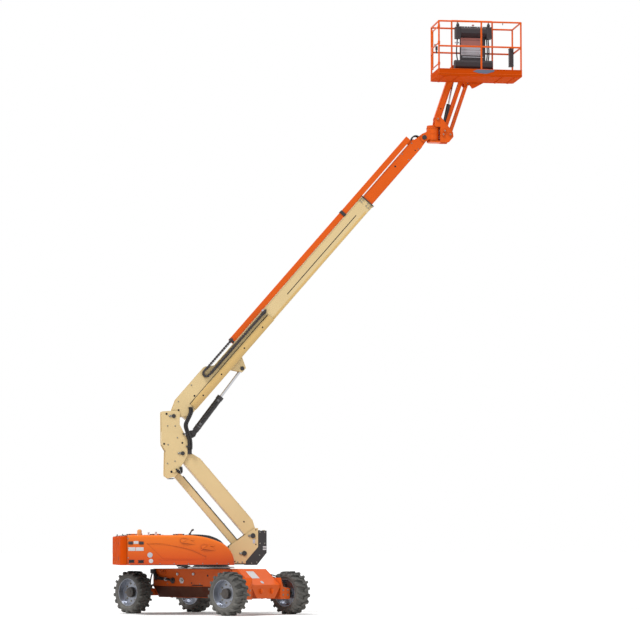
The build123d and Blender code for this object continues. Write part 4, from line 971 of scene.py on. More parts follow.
noseFall = math.degrees(math.atan2(0.33, 0.43))
noseSeat = turned(moved(chassisSeat, 1.366, 0, 0.841), noseFall, "Y")
bossProfile = ((0, 0), (0.042, 0), (0.042, 0.004), (0.034, 0.006), (0.03, 0.004), (0, 0.004))
noseParts = {
    "plate": ("barePlate", [("box", (0.0, -0.118, 0.0015), (0.24, 0.225, 0.003), 0.001)]),
    "boss": ("plateGrey", [("turn", (0.255, -0.04, 0.0), "z", bossProfile)]),
    "seams": ("orangePaint", seamRows(-0.19, 0.345, 0.42, (0.001,), 0.006)),
}
assemble("nose", "chassis", noseSeat, noseParts)
# painted shade: dark coated skins on the two slopes that run from the flanks down to the belly, where shade falls
slopeSkin = ((0.3548, 0.2634), (0.5864, 0.42745), (0.5847, 0.4299), (0.3531, 0.2659))
lugShape = ((-0.04, -0.05), (0.03, -0.05), (0.05, 0.0), (0.03, 0.05), (-0.04, 0.05))
endParts = {
    "belly_skins": ("bellyShadeCoat", [
        ("plate", (-0.29, 0, 0), "x", [(high, side * wide) for high, wide in slopeSkin[::side]], 2.05, 0.0005)
        for side in outwards
    ]),
    "tow_lugs": ("orangePaint", [
        *(("plate", (1.67, y, 0.5), "y", lugShape, 0.02) for y in (0.16, -0.16)),
        ("box", (-1.345, 0.0, 0.86), (0.012, 0.42, 0.12), 0.004),
        ("box", (-1.345, -0.3, 0.68), (0.012, 0.14, 0.14), 0.004),
    ]),
    # the belly plates take the same dark coat, as painted shade under the chassis
    "belly_plates": ("bellyShadeCoat", [
        ("box", (x, 0, 0.345), (length, 0.4, 0.01), 0.002) for x, length in ((-0.75, 0.6), (0.1, 0.8), (1.05, 0.7))
    ]),
    # painted shade: flat black patches stand for openings under the belly
    "belly_recess": ("darkJointAndRecessShade", [
        ("box", (-0.75, 0, 0.3395), (0.2, 0.1, 0.002), 0.0005), ("drum", (0.1, 0, 0.34), "-z", 0.07, 0.002),
        ("drum", (1.05, 0, 0.34), "-z", 0.05, 0.002),
    ]),
}
assemble("chassis", "chassis", chassisSeat, endParts)
bolts("belly_bolts", "chassis", chassisSeat, (
    ("-z", [(x, y, 0.34) for x in (-1.02, -0.75, -0.48, -0.26, 0.1, 0.46, 0.74, 1.05, 1.36) for y in (-0.17, 0.17)]),
    ("-x", [(-1.351, y, z) for y in (-0.18, 0.18) for z in (0.82, 0.9)]),
), 0.9)

# axle ends and hub motors
motorCase = ((0.0, 0.0), (0.135, 0.0), (0.14, 0.006), (0.14, 0.05), (0.125, 0.062), (0.125, 0.15), (0.105, 0.17),
             (0.06, 0.18), (0.0, 0.18))
motorParts = {
    "case": ("blackPaint", [
        ("turn", (1.45, 0.7, 0.457), "y", motorCase),
        ("box", (1.45, 0.74, 0.62), (0.09, 0.06, 0.06), 0.008),
    ]),
    "hoses": ("hoseRubber", [
        ("pipe", ((1.43, 0.72, 0.62), (1.4, 0.66, 0.72), (1.34, 0.52, 0.8), (1.2, 0.44, 0.82)), 0.013),
        ("pipe", ((1.47, 0.72, 0.62), (1.45, 0.64, 0.75), (1.38, 0.5, 0.84), (1.18, 0.44, 0.86)), 0.013),
    ]),
}
steerParts = {
    "hoses": ("hoseRubber", [
        ("pipe", ((-1.38, 0.5, 0.57), (-1.36, 0.44, 0.62), (-1.36, 0.3, 0.64), (-1.35, 0.2, 0.72)), 0.012),
        ("pipe", ((-1.41, 0.5, 0.57), (-1.38, 0.4, 0.6), (-1.38, 0.28, 0.62), (-1.35, 0.16, 0.72)), 0.012),
    ]),
    "steer_ports": ("greyMetal", [
        ("box", (-1.395, 0.5, 0.545), (0.08, 0.06, 0.035), 0.006), ("drum", (-1.45, 0.69, 0.6), "z", 0.046, 0.012),
    ]),
}
capParts = {"caps": ("blackPaint", [
    ("drum", (-1.45, 0.69, 0.598), "z", 0.04, 0.014), ("drum", (-1.45, 0.69, 0.316), "-z", 0.04, 0.014),
    ("drum", (-1.62, 0.69, 0.471), "z", 0.028, 0.012),
])}
for side, name in sideNames.items():
    place = mirrored(chassisSeat, side)
    assemble("hub_motor_" + name, "chassis", place, motorParts)
    assemble("steer_end_" + name, "chassis", place, steerParts)
    bolts("axle_bolts_" + name, "chassis", place, (
        ("y", [(x, 0.7, z) for x in (1.27, 1.63) for z in (0.36, 0.44, 0.52)]),
        ("x", [(1.66, y, z) for z in (0.42, 0.52) for y in (0.5, 0.64)]),
        ("z", [(x, y, 0.532) for x in (-1.5, -1.4) for y in (0.3, 0.42)]),
    ), 1.1)
    assemble("knuckle_" + name, "knuckle_" + name, place, capParts)

toothValues = {"teeth": 104, "radius": 0.4, "tooth": (0.016, 0.012, 0.032), "height": 0.982}


def ringTeeth():
    tooth = bmesh.new()
    addBox(tooth, Matrix.Translation((toothValues["radius"], 0, 0)), toothValues["tooth"], 0.003, 1)
    mesh = copies("ring", tooth, "greyMetal", Count=toothValues["teeth"], FirstAngle=0.0)
    mesh.transform(Matrix.Translation((swingAxis.x, 0, toothValues["height"])))
    keep("slew_ring_teeth", mesh, "chassis", "greyMetal")


ringTeeth()
bandParts = {
    "cover": ("barePlate", [
        ("turn", (0, 0, 0.975), "z", ((0.41, 0), (0.5, 0), (0.5, 0.03), (0.41, 0.03)), 64),
        *twins("box", [(-0.56, 0.3, 0.985)], (0.18, 0.12, 0.03), 0.004),
    ]),
}
assemble("slew_ring", "chassis", chassisSeat, bandParts)
nodes["slew_ring"].material_slots[0].material = finishes["barePlate"]
print("chassis dressed")

# hoods, counterweight and deck
def skinAt(name, start, direction):
    # a seat on a CAD node's surface where a straight look from start meets it
    look = Vector(direction)
    place, normal = nodes[name].ray_cast(start, look)[1:3]
    return seat(place, normal if normal.dot(look) < 0 else -normal, (1, 0, 0))


hoodSide = 1.15
latchShape = ((-0.045, -0.03), (0.045, -0.03), (0.052, 0), (0.045, 0.03), (-0.045, 0.03), (-0.052, 0))
slotShape = ((-0.055, -0.022), (0.055, -0.022), (0.055, 0.022), (-0.055, 0.022))
latchPlaces = (-1.815, -1.593)
slotPlaces = ((-1.796, 1.127), (-1.598, 1.121))
hoodParts = {
    "latches": ("darkPlastic", [
        *(("plate", (x, hoodSide + 0.002, 1.508), "y", latchShape, 0.012) for x in latchPlaces),
        *(("box", (x, hoodSide + 0.01, 1.503), (0.06, 0.012, 0.028), 0.004) for x in latchPlaces),
    ]),
    # painted shade: flat black plates stand for the open slots
    "slots": ("darkJointAndRecessShade", [("plate", (x, hoodSide, z), "y", slotShape, 0.003) for x, z in slotPlaces]),
    "slot_frames": ("darkPlastic", [
        ("box", (x, hoodSide + 0.001, z + rise), (0.13, 0.008, 0.008), 0.002)
        for rise in (0.027, -0.027) for x, z in slotPlaces
    ]),
    "bare_plates": ("barePlate", [
        ("box", (-1.79, hoodSide, 1.382), (0.15, 0.003, 0.075), 0.001),
        ("box", (-1.625, hoodSide, 1.382), (0.16, 0.003, 0.075), 0.001),
        ("box", (-1.704, hoodSide, 1.52), (0.1, 0.003, 0.06), 0.001),
        ("drum", (-1.388, hoodSide, 1.133), "y", 0.045, 0.002),
    ]),
    "round_mark": ("plateGrey", [
        ("drum", (-1.41, hoodSide, 1.258), "y", 0.055, 0.003),
        ("drum", (-1.41, hoodSide + 0.003, 1.258), "y", 0.03, 0.002),
    ]),
    "lower_trim": ("blackPaint", [("box", (-0.78, hoodSide - 0.004, 1.05), (2.1, 0.012, 0.014), 0.004)]),
}
liftKnob = ((0, 0), (0.03, 0), (0.03, 0.008), (0.016, 0.014), (0.014, 0.04), (0.022, 0.048), (0.022, 0.062),
            (0.014, 0.07), (0, 0.07))
topParts = {
    "lift_knob": ("plateGrey", [("turn", (-1.265, 0.9, 1.675), "z", liftKnob)]),
    "edge_buffers": ("hoseRubber", [
        ("drum", (x, y, 1.675), "z", 0.018, 0.01) for x in (-1.8, -0.75) for y in (0.5, 1.0)
    ]),
}
leverParts = {"lever": ("darkPlastic", [
    ("turn", (-0.5, -0.42, 1.664), "z", ((0, 0), (0.05, 0), (0.05, 0.012), (0.03, 0.022), (0.022, 0.055), (0, 0.055))),
    ("rod", (-0.5, -0.42, 1.705), (-0.455, -0.42, 1.785), 0.015),
    ("rod", (-0.46, -0.42, 1.775), (-0.42, -0.42, 1.795), 0.019),
])}
assemble("hood_top", "door_right", deckSeat, leverParts)
# lines pressed into each hood's side: places along the side, then the bead's radius
pressedLines = (
    (((-1.46, 1.492), (-1.3, 1.49), (-1.15, 1.482), (-0.99, 1.468), (-0.84, 1.448), (-0.68, 1.415), (-0.52, 1.368),
      (-0.38, 1.31), (-0.26, 1.24)), 0.013),
    (((-0.75, 1.512), (-0.72, 1.545), (-0.66, 1.566), (-0.58, 1.572), (-0.48, 1.566)), 0.013),
    (((-0.33, 1.362), (-0.3, 1.41), (-0.24, 1.44), (-0.16, 1.452), (-0.05, 1.45)), 0.013),
    (((-1.22, 1.16), (-1.0, 1.158), (-0.75, 1.158), (-0.5, 1.158), (-0.27, 1.16)), 0.009),
)


beadValues = {"sink": 0.45, "sides": 3, "smooth": 60}


def pressedBeads(name, place):
    # each bead lies on the hood's side, sunk by part of its radius
    work = bmesh.new()
    look = place.to_3x3() @ Vector((0, -1, 0))
    for spots, radius in pressedLines:
        skins = [skinAt("hood_" + name, place @ Vector((x, 2.0, z)), look).translation for x, z in spots]
        addHose(work, [skin + look * radius * beadValues["sink"] for skin in skins], radius, beadValues["sides"])
    keepWork("pressed_lines_" + name, work, "door_" + name, "hoodPaint", beadValues["smooth"])


stripValues = {
    "from": -0.56, "to": 0.33, "steps": 12, "side": 0.352, "thick": 0.03, "high": 0.085, "sink": 0.012,
    "rearShare": 0.12, "slope": 1.6, "fallFrom": 0.8, "shoulder": 0.8, "crown": 0.4,
}


def edgeStrip(name, body, place):
    # a rubber seal that rises out of the hood's inner edge and thins out to the rear
    values = stripValues
    work = bmesh.new()
    rings = []
    for step in range(values["steps"]):
        part = step / (values["steps"] - 1)
        x = values["from"] + (values["to"] - values["from"]) * part
        skin = skinAt("hood_" + name, place @ Vector((x, values["side"] + 0.02, 3.0)), (0, 0, -1)).translation
        high = values["high"] * min(1.0, values["rearShare"] + values["slope"] * part)
        high *= 1.0 - values["slope"] * max(0.0, part - values["fallFrom"])
        side = (place.to_3x3() @ Vector((0, 1, 0))) * values["thick"] / 2
        middle = Vector((skin.x, (place @ Vector((0, values["side"], 0))).y, skin.z))
        sink = -values["sink"]
        crown, shoulder = values["crown"], high * values["shoulder"]
        section = ((-1, sink), (-1, shoulder), (-crown, high), (crown, high), (1, shoulder), (1, sink))
        rings.append([middle + side * across + Vector((0, 0, rise)) for across, rise in section])
    addLoft(work, rings)
    keepWork("edge_strip_" + name, work, body, "hoseRubber")


for side, name in sideNames.items():
    body = "door_" + name
    place = mirrored(deckSeat, side)
    assemble("hood_" + name, body, place, hoodParts)
    assemble("hood_top_" + name, body, place, topParts)
    edgeStrip(name, body, place)
    pressedBeads(name, place)
    nodes["hood_" + name].material_slots[0].material = finishes["hoodPaint"]
    bolts("hood_bolts_" + name, body, place, (
        ("y", [(x, hoodSide, 1.08) for x in (-1.84, -1.2, -0.9, -0.6, -0.3, 0.0, 0.24)]),
        ("y", [(-1.866, hoodSide, z) for z in (1.2, 1.4, 1.6)]),
    ), 0.6)
    bolts("latch_screws_" + name, body, place, (
        ("y", [(x + step, hoodSide + 0.008, 1.508) for x in latchPlaces for step in (-0.04, 0.04)]),
    ), 0.35)

louvreValues = {
    "count": 9, "first": -1.42, "pitch": 0.055, "length": 0.26, "side": 0.62,
    "shape": ((-0.02, -0.004), (0.016, -0.004), (0.016, 0.003), (-0.012, 0.012), (-0.02, 0.008)),
}


def louvres(name, side):
    # pressed slats along the top of a hood, over the engine and the tanks
    values = louvreValues
    slat = bmesh.new()
    addPrism(slat, Matrix.Rotation(math.radians(90), 4, "X"), values["shape"], values["length"], 0.0015)
    places = []
    for step in range(values["count"]):
        x = values["first"] + values["pitch"] * step
        places.append(skinAt("hood_" + name, deckSeat @ Vector((x, side * values["side"], 3)), (0, 0, -1)))
    onSpots("hood_louvres_" + name, slat, places, "door_" + name, "orangePaint")


louvres("left", 1)
weightParts = {
    "lifting_eyes": ("blackPaint", [
        *(("ring", (-1.955, y, 1.662), "x", 0.03, 0.009) for y in (-0.75, 0.75)),
        *(("drum", (-1.955, y, 1.648), "z", 0.038, 0.008) for y in (-0.75, 0.75)),
    ]),
    "seams": ("darkJointAndRecessShade", [
        ("box", (-1.958, 0.0, 1.6505), (0.12, 0.006, 0.002), 0.0005),
        ("box", (-2.0305, 0.0, 1.34), (0.002, 0.006, 0.5), 0.0005),
        *(("drum", (-2.03, y, 1.18), "-x", 0.04, 0.002) for y in (-0.62, 0.62)),
        *(("drum", (-2.03, y, 1.5), "-x", 0.025, 0.002) for y in (-0.62, 0.62)),
    ]),
    "lower_rim": ("blackPaint", [("box", (-1.955, 0, 1.052), (0.13, 2.06, 0.014), 0.005)]),
}
nodes["counterweight"].material_slots[0].material = finishes["floorPaint"]
assemble("counterweight", "turntable", deckSeat, weightParts)
bolts("counterweight_bolts", "turntable", deckSeat, (
    ("z", [(-1.955, y, 1.65) for y in (-0.9, -0.45, 0.45, 0.9)]),
), 1.5)

deckParts = {
    "lock_pin": ("blackPaint", [
        ("box", (-0.62, -0.52, 1.03), (0.14, 0.06, 0.05), 0.008),
        ("rod", (-0.62, -0.52, 1.03), (-0.62, -0.52, 0.985), 0.016),
        ("box", (-0.2, -0.6, 1.035), (0.3, 0.05, 0.03), 0.006), ("box", (-0.62, 0.52, 1.03), (0.14, 0.06, 0.05), 0.008),
        ("rod", (-0.7, -0.54, 1.02), (-0.5, -0.54, 1.02), 0.01),
    ]),
    "swing_motor": ("greyMetal", [
        ("turn", (-0.5, 0, 1.076), "z", ((0, 0), (0.1, 0), (0.1, 0.012), (0.07, 0.016), (0.07, 0.02), (0, 0.02))),
    ]),
    "rim_bar": ("blackPaint", [
        *twins("box", [(-0.78, 1.088, 1.063)], (2.14, 0.01, 0.03), 0.003),
        *twins("box", [(0.345, 0.72, 1.063)], (0.012, 0.7, 0.03), 0.003),
    ]),
    "struts": ("chromedRod", [("rod", (-0.35, y, 1.13), (-0.35, y, 1.32), 0.008) for y in (-0.36, 0.36)]),
}
assemble("deck", "turntable", deckSeat, deckParts)
wellParts = {
    "hoses": ("hoseRubber", [
        ("pipe", ((-1.55, y, 1.094), (-1.0, y * 0.8, 1.09), (-0.4, y * 0.9, 1.09), (0.1, y, 1.09), (0.36, y, 1.094),
                  (0.5, y, 1.12)), 0.012)
        for y in (-0.2, -0.165, -0.13, 0.13, 0.165, 0.2)
    ]),
}
assemble("well", "turntable", deckSeat, wellParts)

# under the hoods
pulley = ((0, 0), (0.09, 0), (0.09, 0.01), (0.075, 0.014), (0.075, 0.022), (0.09, 0.026), (0.09, 0.036), (0.02, 0.04),
          (0, 0.04))
engineParts = {
    "head": ("greyMetal", [
        ("box", (-1.0, -0.68, 1.53), (0.62, 0.24, 0.05), 0.012), ("box", (-1.0, -0.68, 1.56), (0.5, 0.14, 0.03), 0.01),
        ("turn", (-1.5, -0.68, 1.34), "-x", pulley),
        ("drum", (-1.5, -0.82, 1.2), "-x", 0.05, 0.03), ("drum", (-1.5, -0.55, 1.22), "-x", 0.045, 0.03),
        ("box", (-1.2, -0.938, 1.3), (0.3, 0.02, 0.16), 0.008),
    ]),
    "covers": ("blackPaint", [
        ("rod", (-1.3, -0.94, 1.46), (-0.95, -0.94, 1.46), 0.05, 24),
        ("rod", (-0.85, -0.95, 1.2), (-0.85, -0.95, 1.38), 0.04, 20),
        ("rod", (-0.72, -0.95, 1.2), (-0.72, -0.95, 1.36), 0.04, 20),
        ("box", (-0.56, -0.68, 1.3), (0.05, 0.42, 0.36), 0.01),
    ]),
    "pipes": ("hoseRubber", [
        ("pipe", ((-1.12, -0.94, 1.5), (-1.1, -0.9, 1.57), (-1.0, -0.8, 1.59), (-0.9, -0.7, 1.585)), 0.024),
        ("pipe", ((-0.85, -0.95, 1.38), (-0.85, -0.93, 1.45), (-0.8, -0.85, 1.5), (-0.74, -0.75, 1.54)), 0.012),
        ("pipe", ((-0.6, -0.5, 1.45), (-0.62, -0.42, 1.5), (-0.8, -0.42, 1.52), (-1.2, -0.42, 1.45)), 0.014),
    ]),
    "exhaust": ("chromedRod", [
        ("pipe", ((-1.3, -0.5, 1.54), (-1.35, -0.42, 1.54), (-1.5, -0.4, 1.5), (-1.56, -0.4, 1.3)), 0.022),
    ]),
}
fillerCap = ((0, 0), (0.045, 0), (0.045, 0.02), (0.035, 0.03), (0.012, 0.035), (0.012, 0.05), (0, 0.05))
strapPlaces = (-1.66, -1.2, -0.85, -0.42)
tankParts = {
    "caps": ("darkPlastic", [
        ("turn", (-1.43, 0.7, 1.476), "z", ((0, 0), (0.05, 0), (0.05, 0.03), (0.044, 0.036), (0, 0.036))),
        ("turn", (-0.63, 0.7, 1.476), "z", fillerCap),
    ]),
    "straps": ("blackPaint", [
        *(("box", (x, 0.7, 1.478), (0.035, 0.52, 0.006), 0.002) for x in strapPlaces),
        *(("box", (x, 0.962, 1.28), (0.035, 0.006, 0.39), 0.002) for x in strapPlaces),
    ]),
    "valves": ("greyMetal", [
        ("box", (-1.05, 0.9, 1.2), (0.1, 0.12, 0.2), 0.008),
        *(("drum", (-1.05, 0.96, z), "y", 0.022, 0.05) for z in (1.26, 1.18)),
    ]),
}
assemble("engine", "turntable", deckSeat, engineParts)
assemble("tank", "turntable", deckSeat, tankParts)
print("turntable dressed")

# tower, upright, boom and lift cylinder
linkSeat = towerSeat.copy()
linkSeat.translation = pivot("tower_link_pivot")
towerParts = {
    "seams": ("creamPaint", seamRows(0.36, 2.0, 0.142, (0.106, -0.203), 0.005)),
    "cover_plates": ("creamPaint", [("box", (x, 0, -0.216), (0.26, 0.2, 0.006), 0.002) for x in (0.6, 1.2, 1.8)]),
    "marks": ("darkJointAndRecessShade", twins("drum", [(0.35, 0.1415, -0.05)], 0.018, 0.0015)),
}
assemble("tower_arm", "tower", towerSeat, towerParts)
bolts("tower_cover_bolts", "tower", towerSeat, (
    ("-z", [(place + step, y, -0.219) for place in (0.6, 1.2, 1.8) for step in (-0.11, 0.11) for y in (-0.08, 0.08)]),
), 0.7)
linkParts = {
    "hoses": ("hoseRubber", [
        ("pipe", ((0.2, y, -0.081), (0.8, y, -0.083), (1.5, y, -0.081), (2.1, y, -0.083)), 0.011)
        for y in (-0.045, -0.015, 0.015, 0.045)
    ]),
    "clamps": ("blackPaint", [
        ("box", (x, 0, -0.083), (0.03, 0.13, 0.028), 0.004) for x in (0.3, 0.75, 1.2, 1.65, 2.05)
    ]),
    "seams": ("creamPaint", seamRows(0.08, 2.2, 0.07, (0.06, -0.06), 0.004)),
}
assemble("tower_link", "tower_parallel", linkSeat, linkParts)

baseParts = {
    "blank_plates": ("barePlate", twins(
        "box", [(1.13, 0.1775, 1.375), (1.13, 0.1775, 1.425)], (0.075, 0.003, 0.03), 0.001,
    )),
    "lips": ("creamPaint", twins("box", [(1.02, 0.12, 1.779), (1.13, 0.12, 1.779)], (0.03, 0.05, 0.012), 0.003)),
    "marks": ("darkJointAndRecessShade", twins(
        "drum", [(0.42, 0.177, 1.12), (0.94, 0.177, 1.79), (0.94, 0.177, 1.48)], 0.014, 0.0015,
    )),
    "pin_tags": ("plateGrey", twins("box", [(0.9, 0.1775, 1.545)], (0.05, 0.003, 0.09), 0.001)),
}
assemble("tower_foot", "turntable", deckSeat, baseParts)
guardSpots = ((1.03, 1.74), (1.13, 1.74), (1.03, 1.5), (1.13, 1.5), (1.02, 1.25), (0.85, 1.08), (0.96, 1.1))
for side in outwards:
    sideBolts("guard_bolts", side, "turntable", deckSeat, [(x, 0.177, z) for x, z in guardSpots], 0.8)
    sideBolts("foot_bolts", side, "turntable", deckSeat, [(x, 0.177, 1.1) for x in (0.45, 0.55, 0.65)], 0.9)

hoseRun = ((-0.49, 4.4), (-0.455, 4.33), (-0.53, 4.16), (-0.6, 4.02), (-0.55, 3.87), (-0.495, 3.72), (-0.485, 3.6),
           (-0.49, 3.5))
uprightMarks = ((-1.034, 3.617, 0.021), (-0.645, 3.64, 0.02), (-0.985, 4.257, 0.024), (-0.874, 3.023, 0.026))
rimSpots = ((-1.076, 3.64, -1.085, 4.28), (-1.01, 2.96, -1.002, 3.44))
uprightParts = {
    "hoses": ("hoseRubber", [
        ("pipe", tuple((x + lean, y, z) for x, z in hoseRun), 0.016)
        for lean, y in ((-0.02, -0.198), (0.012, -0.198), (0.044, -0.2), (-0.004, -0.228), (0.03, -0.228))
    ] + [
        ("pipe", ((-0.78, -0.196, 3.08), (-0.7, -0.2, 3.02), (-0.665, -0.198, 3.05), (-0.7, -0.196, 3.12)), 0.017),
        ("pipe", ((-0.76, -0.196, 3.04), (-0.69, -0.2, 2.98), (-0.64, -0.198, 3.02), (-0.66, -0.196, 3.13)), 0.017),
    ]),
    "hose_clamps": ("blackPaint", [
        ("box", (-0.57, -0.2, 3.83), (0.14, 0.07, 0.03), 0.006), ("box", (-0.5, -0.2, 3.56), (0.13, 0.07, 0.03), 0.006),
        *twins("box", [(-0.87, 0.166, 2.879)], (0.12, 0.03, 0.014), 0.003),
    ]),
    "marks": ("darkJointAndRecessShade", [
        row for x, z, radius in uprightMarks for row in twins("drum", [(x, 0.177, z)], radius, 0.003)
    ]),
    "rims": ("creamPaint", [
        ("rod", (low, y, foot), (high, y, top), 0.008, 10) for low, foot, high, top in rimSpots for y in (-0.17, 0.17)
    ]),
    "foot_caps": ("blackPaint", twins("drum", [(-0.395, 0.105, 3.85)], 0.052, 0.01)),
}
assemble("upright", "upright", deckSeat, uprightParts)
uprightSpots = ((-0.96, 4.0), (-0.8, 4.0), (-0.96, 3.2), (-0.8, 3.25), (-0.95, 3.6), (-0.75, 3.75))
for side in outwards:
    sideBolts("upright_bolts", side, "upright", deckSeat, [(x, 0.177, z) for x, z in uprightSpots], 0.8)

# along the boom, across it, and up from its middle line
boomParts = {
    # painted shade: thin darker cream sheets on the boom's lower sides and underside, where its side channels run
    "channels": ("channelShadePaint", [
        *twins("box", [(1.705, 0.1665, -0.184)], (2.55, 0.0015, 0.166), 0.0005),
        *twins("box", [(4.55, 0.1308, -0.236)], (3.1, 0.0015, 0.056), 0.0005),
        ("box", (4.05, 0, -0.2658), (4.1, 0.22, 0.0015), 0.0005),
    ]),
    # painted shadow: dark lines along the step between the boom's tube and its side channel, and dark discs for holes
    "seams": ("darkJointAndRecessShade", [
        *seamRows(0.42, 2.98, 0.1465, (-0.089,), 0.0055),
        *twins("box", [(4.75, 0.1308, -0.118)], (2.3, 0.002, 0.016), 0.0005),
        *twins("drum", [(0.166, 0.146, 0.005), (0.62, 0.146, -0.05)], 0.02, 0.003),
        *twins("drum", [(s, 0.1668, -0.184) for s in (0.75, 1.35, 2.1, 2.7)], 0.018, 0.0015),
    ]),
    "weld_lines": ("creamPaint", [
        *seamRows(1.42, 6.15, 0.13, (0.044, -0.256), 0.005),
        *(("rod", (1.405, y, -0.26), (1.405, y, 0.05), 0.007, 8) for y in (-0.132, 0.132)),
    ]),
    "collar_bands": ("blackPaint", [
        *twins("box", [(6.3, 0.1435, -0.105)], (0.022, 0.004, 0.33), 0.001),
        ("box", (6.3, 0, 0.07), (0.022, 0.27, 0.006), 0.001), ("box", (6.3, 0, -0.28), (0.022, 0.27, 0.006), 0.001),
        ("box", (5.738, -0.1285, 0.12), (0.07, 0.008, 0.15), 0.002),
        ("box", (5.738, -0.0115, 0.12), (0.07, 0.01, 0.15), 0.002),
    ]),
    "lug_caps": ("blackPaint", twins("drum", [(1.75, 0.098, -0.44)], 0.044, 0.014)),
    "cable_plates": ("plateGrey", [("box", (2.98, -0.15, 0.02), (0.05, 0.03, 0.1), 0.004)]),
}
assemble("boom", "main_boom", boomSeat, boomParts)
collarSpots = [(s, 0.142, v) for s in (6.2, 6.26) for v in (-0.22, -0.15, -0.02, 0.03)]
collarSpots += [(0.3, 0.146, 0.13), (0.75, 0.146, 0.15), (1.3, 0.146, 0.02)]
for side in outwards:
    sideBolts("collar_bolts", side, "main_boom", boomSeat, collarSpots, 0.8)
bolts("collar_top_bolts", "main_boom", boomSeat, (
    ("z", [(s, y, 0.067) for s in (6.2, 6.26) for y in (0.02, 0.08)]),
), 0.8)

flyHoseRun = ((7.96, 0.03), (8.0, 0.055), (8.06, 0.07), (8.12, 0.045), (8.15, -0.01), (8.155, -0.08))
flyParts = {
    "seams": ("orangePaint", seamRows(6.35, 7.98, 0.105, (0.024, -0.218), 0.004)),
    "marks": ("darkJointAndRecessShade", [
        *twins("drum", [(7.289, 0.105, -0.062)], 0.02, 0.0015), *twins("drum", [(7.85, 0.105, -0.16)], 0.014, 0.0015),
    ]),
    "tube_sleeve": ("blackPaint", [
        *(("box", (2.05, y, 0.1235), (0.05, 0.003, 0.12), 0.001) for y in (-0.1215, -0.0185)),
        ("box", (2.05, -0.07, 0.1865), (0.05, 0.1, 0.003), 0.001),
    ]),
    "hoses": ("hoseRubber", [
        ("pipe", [(s, y, v) for s, v in flyHoseRun], 0.016) for y in (-0.02, 0.02, 0.058, 0.09)
    ]),
}
assemble("fly", "fly_boom", boomSeat, flyParts)
for side in outwards:
    sideBolts("fly_bolts", side, "fly_boom", boomSeat, [(s, 0.105, v) for s in (7.6, 7.92) for v in (-0.19, 0.0)], 0.7)

clampProfile = ((0.067, 0), (0.071, 0.002), (0.071, 0.026), (0.067, 0.028))
barrelParts = {
    "bands": ("greyMetal", [
        ("turn", (0.17, 0, 0), "x", ((0.067, 0), (0.073, 0), (0.073, 0.022), (0.067, 0.022)), 36),
    ]),
    "clamps": ("blackPaint", [
        *(("turn", (s, 0, 0), "x", clampProfile, 36) for s in (0.42, 0.72)),
        *twins("box", [(0.434, 0.074, 0.0), (0.734, 0.074, 0.0)], (0.028, 0.02, 0.05), 0.003),
    ]),
    "ports": ("greyMetal", twins("box", [(0.25, 0.068, 0.0), (0.88, 0.068, 0.0)], (0.05, 0.026, 0.05), 0.004)),
    "pipes": ("hoseRubber", seamRows(0.26, 0.87, 0.0735, (0.011, -0.011), 0.008, 16)),
}
assemble("lift_barrel", "boom_barrel", liftSeat, barrelParts)
print("tower and boom dressed")

# jib, supports and platform
capValues = {"radius": 0.036, "high": 0.012, "reach": 0.158}


def pinCaps(prefix, body, spots):
    # a plain cap over each end of a pin, held by one bolt
    values = capValues
    work = bmesh.new()
    for x, z in spots:
        for side, axis in outwards.items():
            drumRow(work, deckSeat, (x, side * values["reach"], z), axis, values["radius"], values["high"])
    keepWork(prefix + "_pin_caps", work, body, "orangePaint")
    for side, axis in outwards.items():
        places = [(x, side * (values["reach"] + values["high"]), z) for x, z in spots]
        bolts(prefix + "_pin_bolts_y" + sideNames[side], body, deckSeat, ((axis, places),), 0.9)


pinCaps("jib_base", "jib_base", ((4.93, 10.74), (5.05, 10.4), (5.085, 10.48), (5.205, 10.4)))
pinCaps("support", "support", ((5.3167, 11.876), (5.4717, 11.616), (5.5917, 11.536)))
jibLength = (pivot("platform_level") - pivot("jib_lift")).length
jibParts = {
    "seams": ("orangePaint", seamRows(0.12, jibLength - 0.12, 0.0665, (0.05, -0.05), 0.004)),
    "marks": ("darkJointAndRecessShade", twins("drum", [(0.25, 0.066, 0.0), (0.9, 0.066, 0.0)], 0.014, 0.0015)),
}
assemble("jib_arm", "jib", jibSeat, jibParts)
housingBand = ((0.136, 0), (0.143, 0.002), (0.143, 0.014), (0.136, 0.016))
housingParts = {
    "bands": ("orangePaint", [("turn", (4.841, 0, z), "z", housingBand, 40) for z in (10.29, 10.41, 10.53)]),
}
assemble("slew_housing", "nose", deckSeat, housingParts)

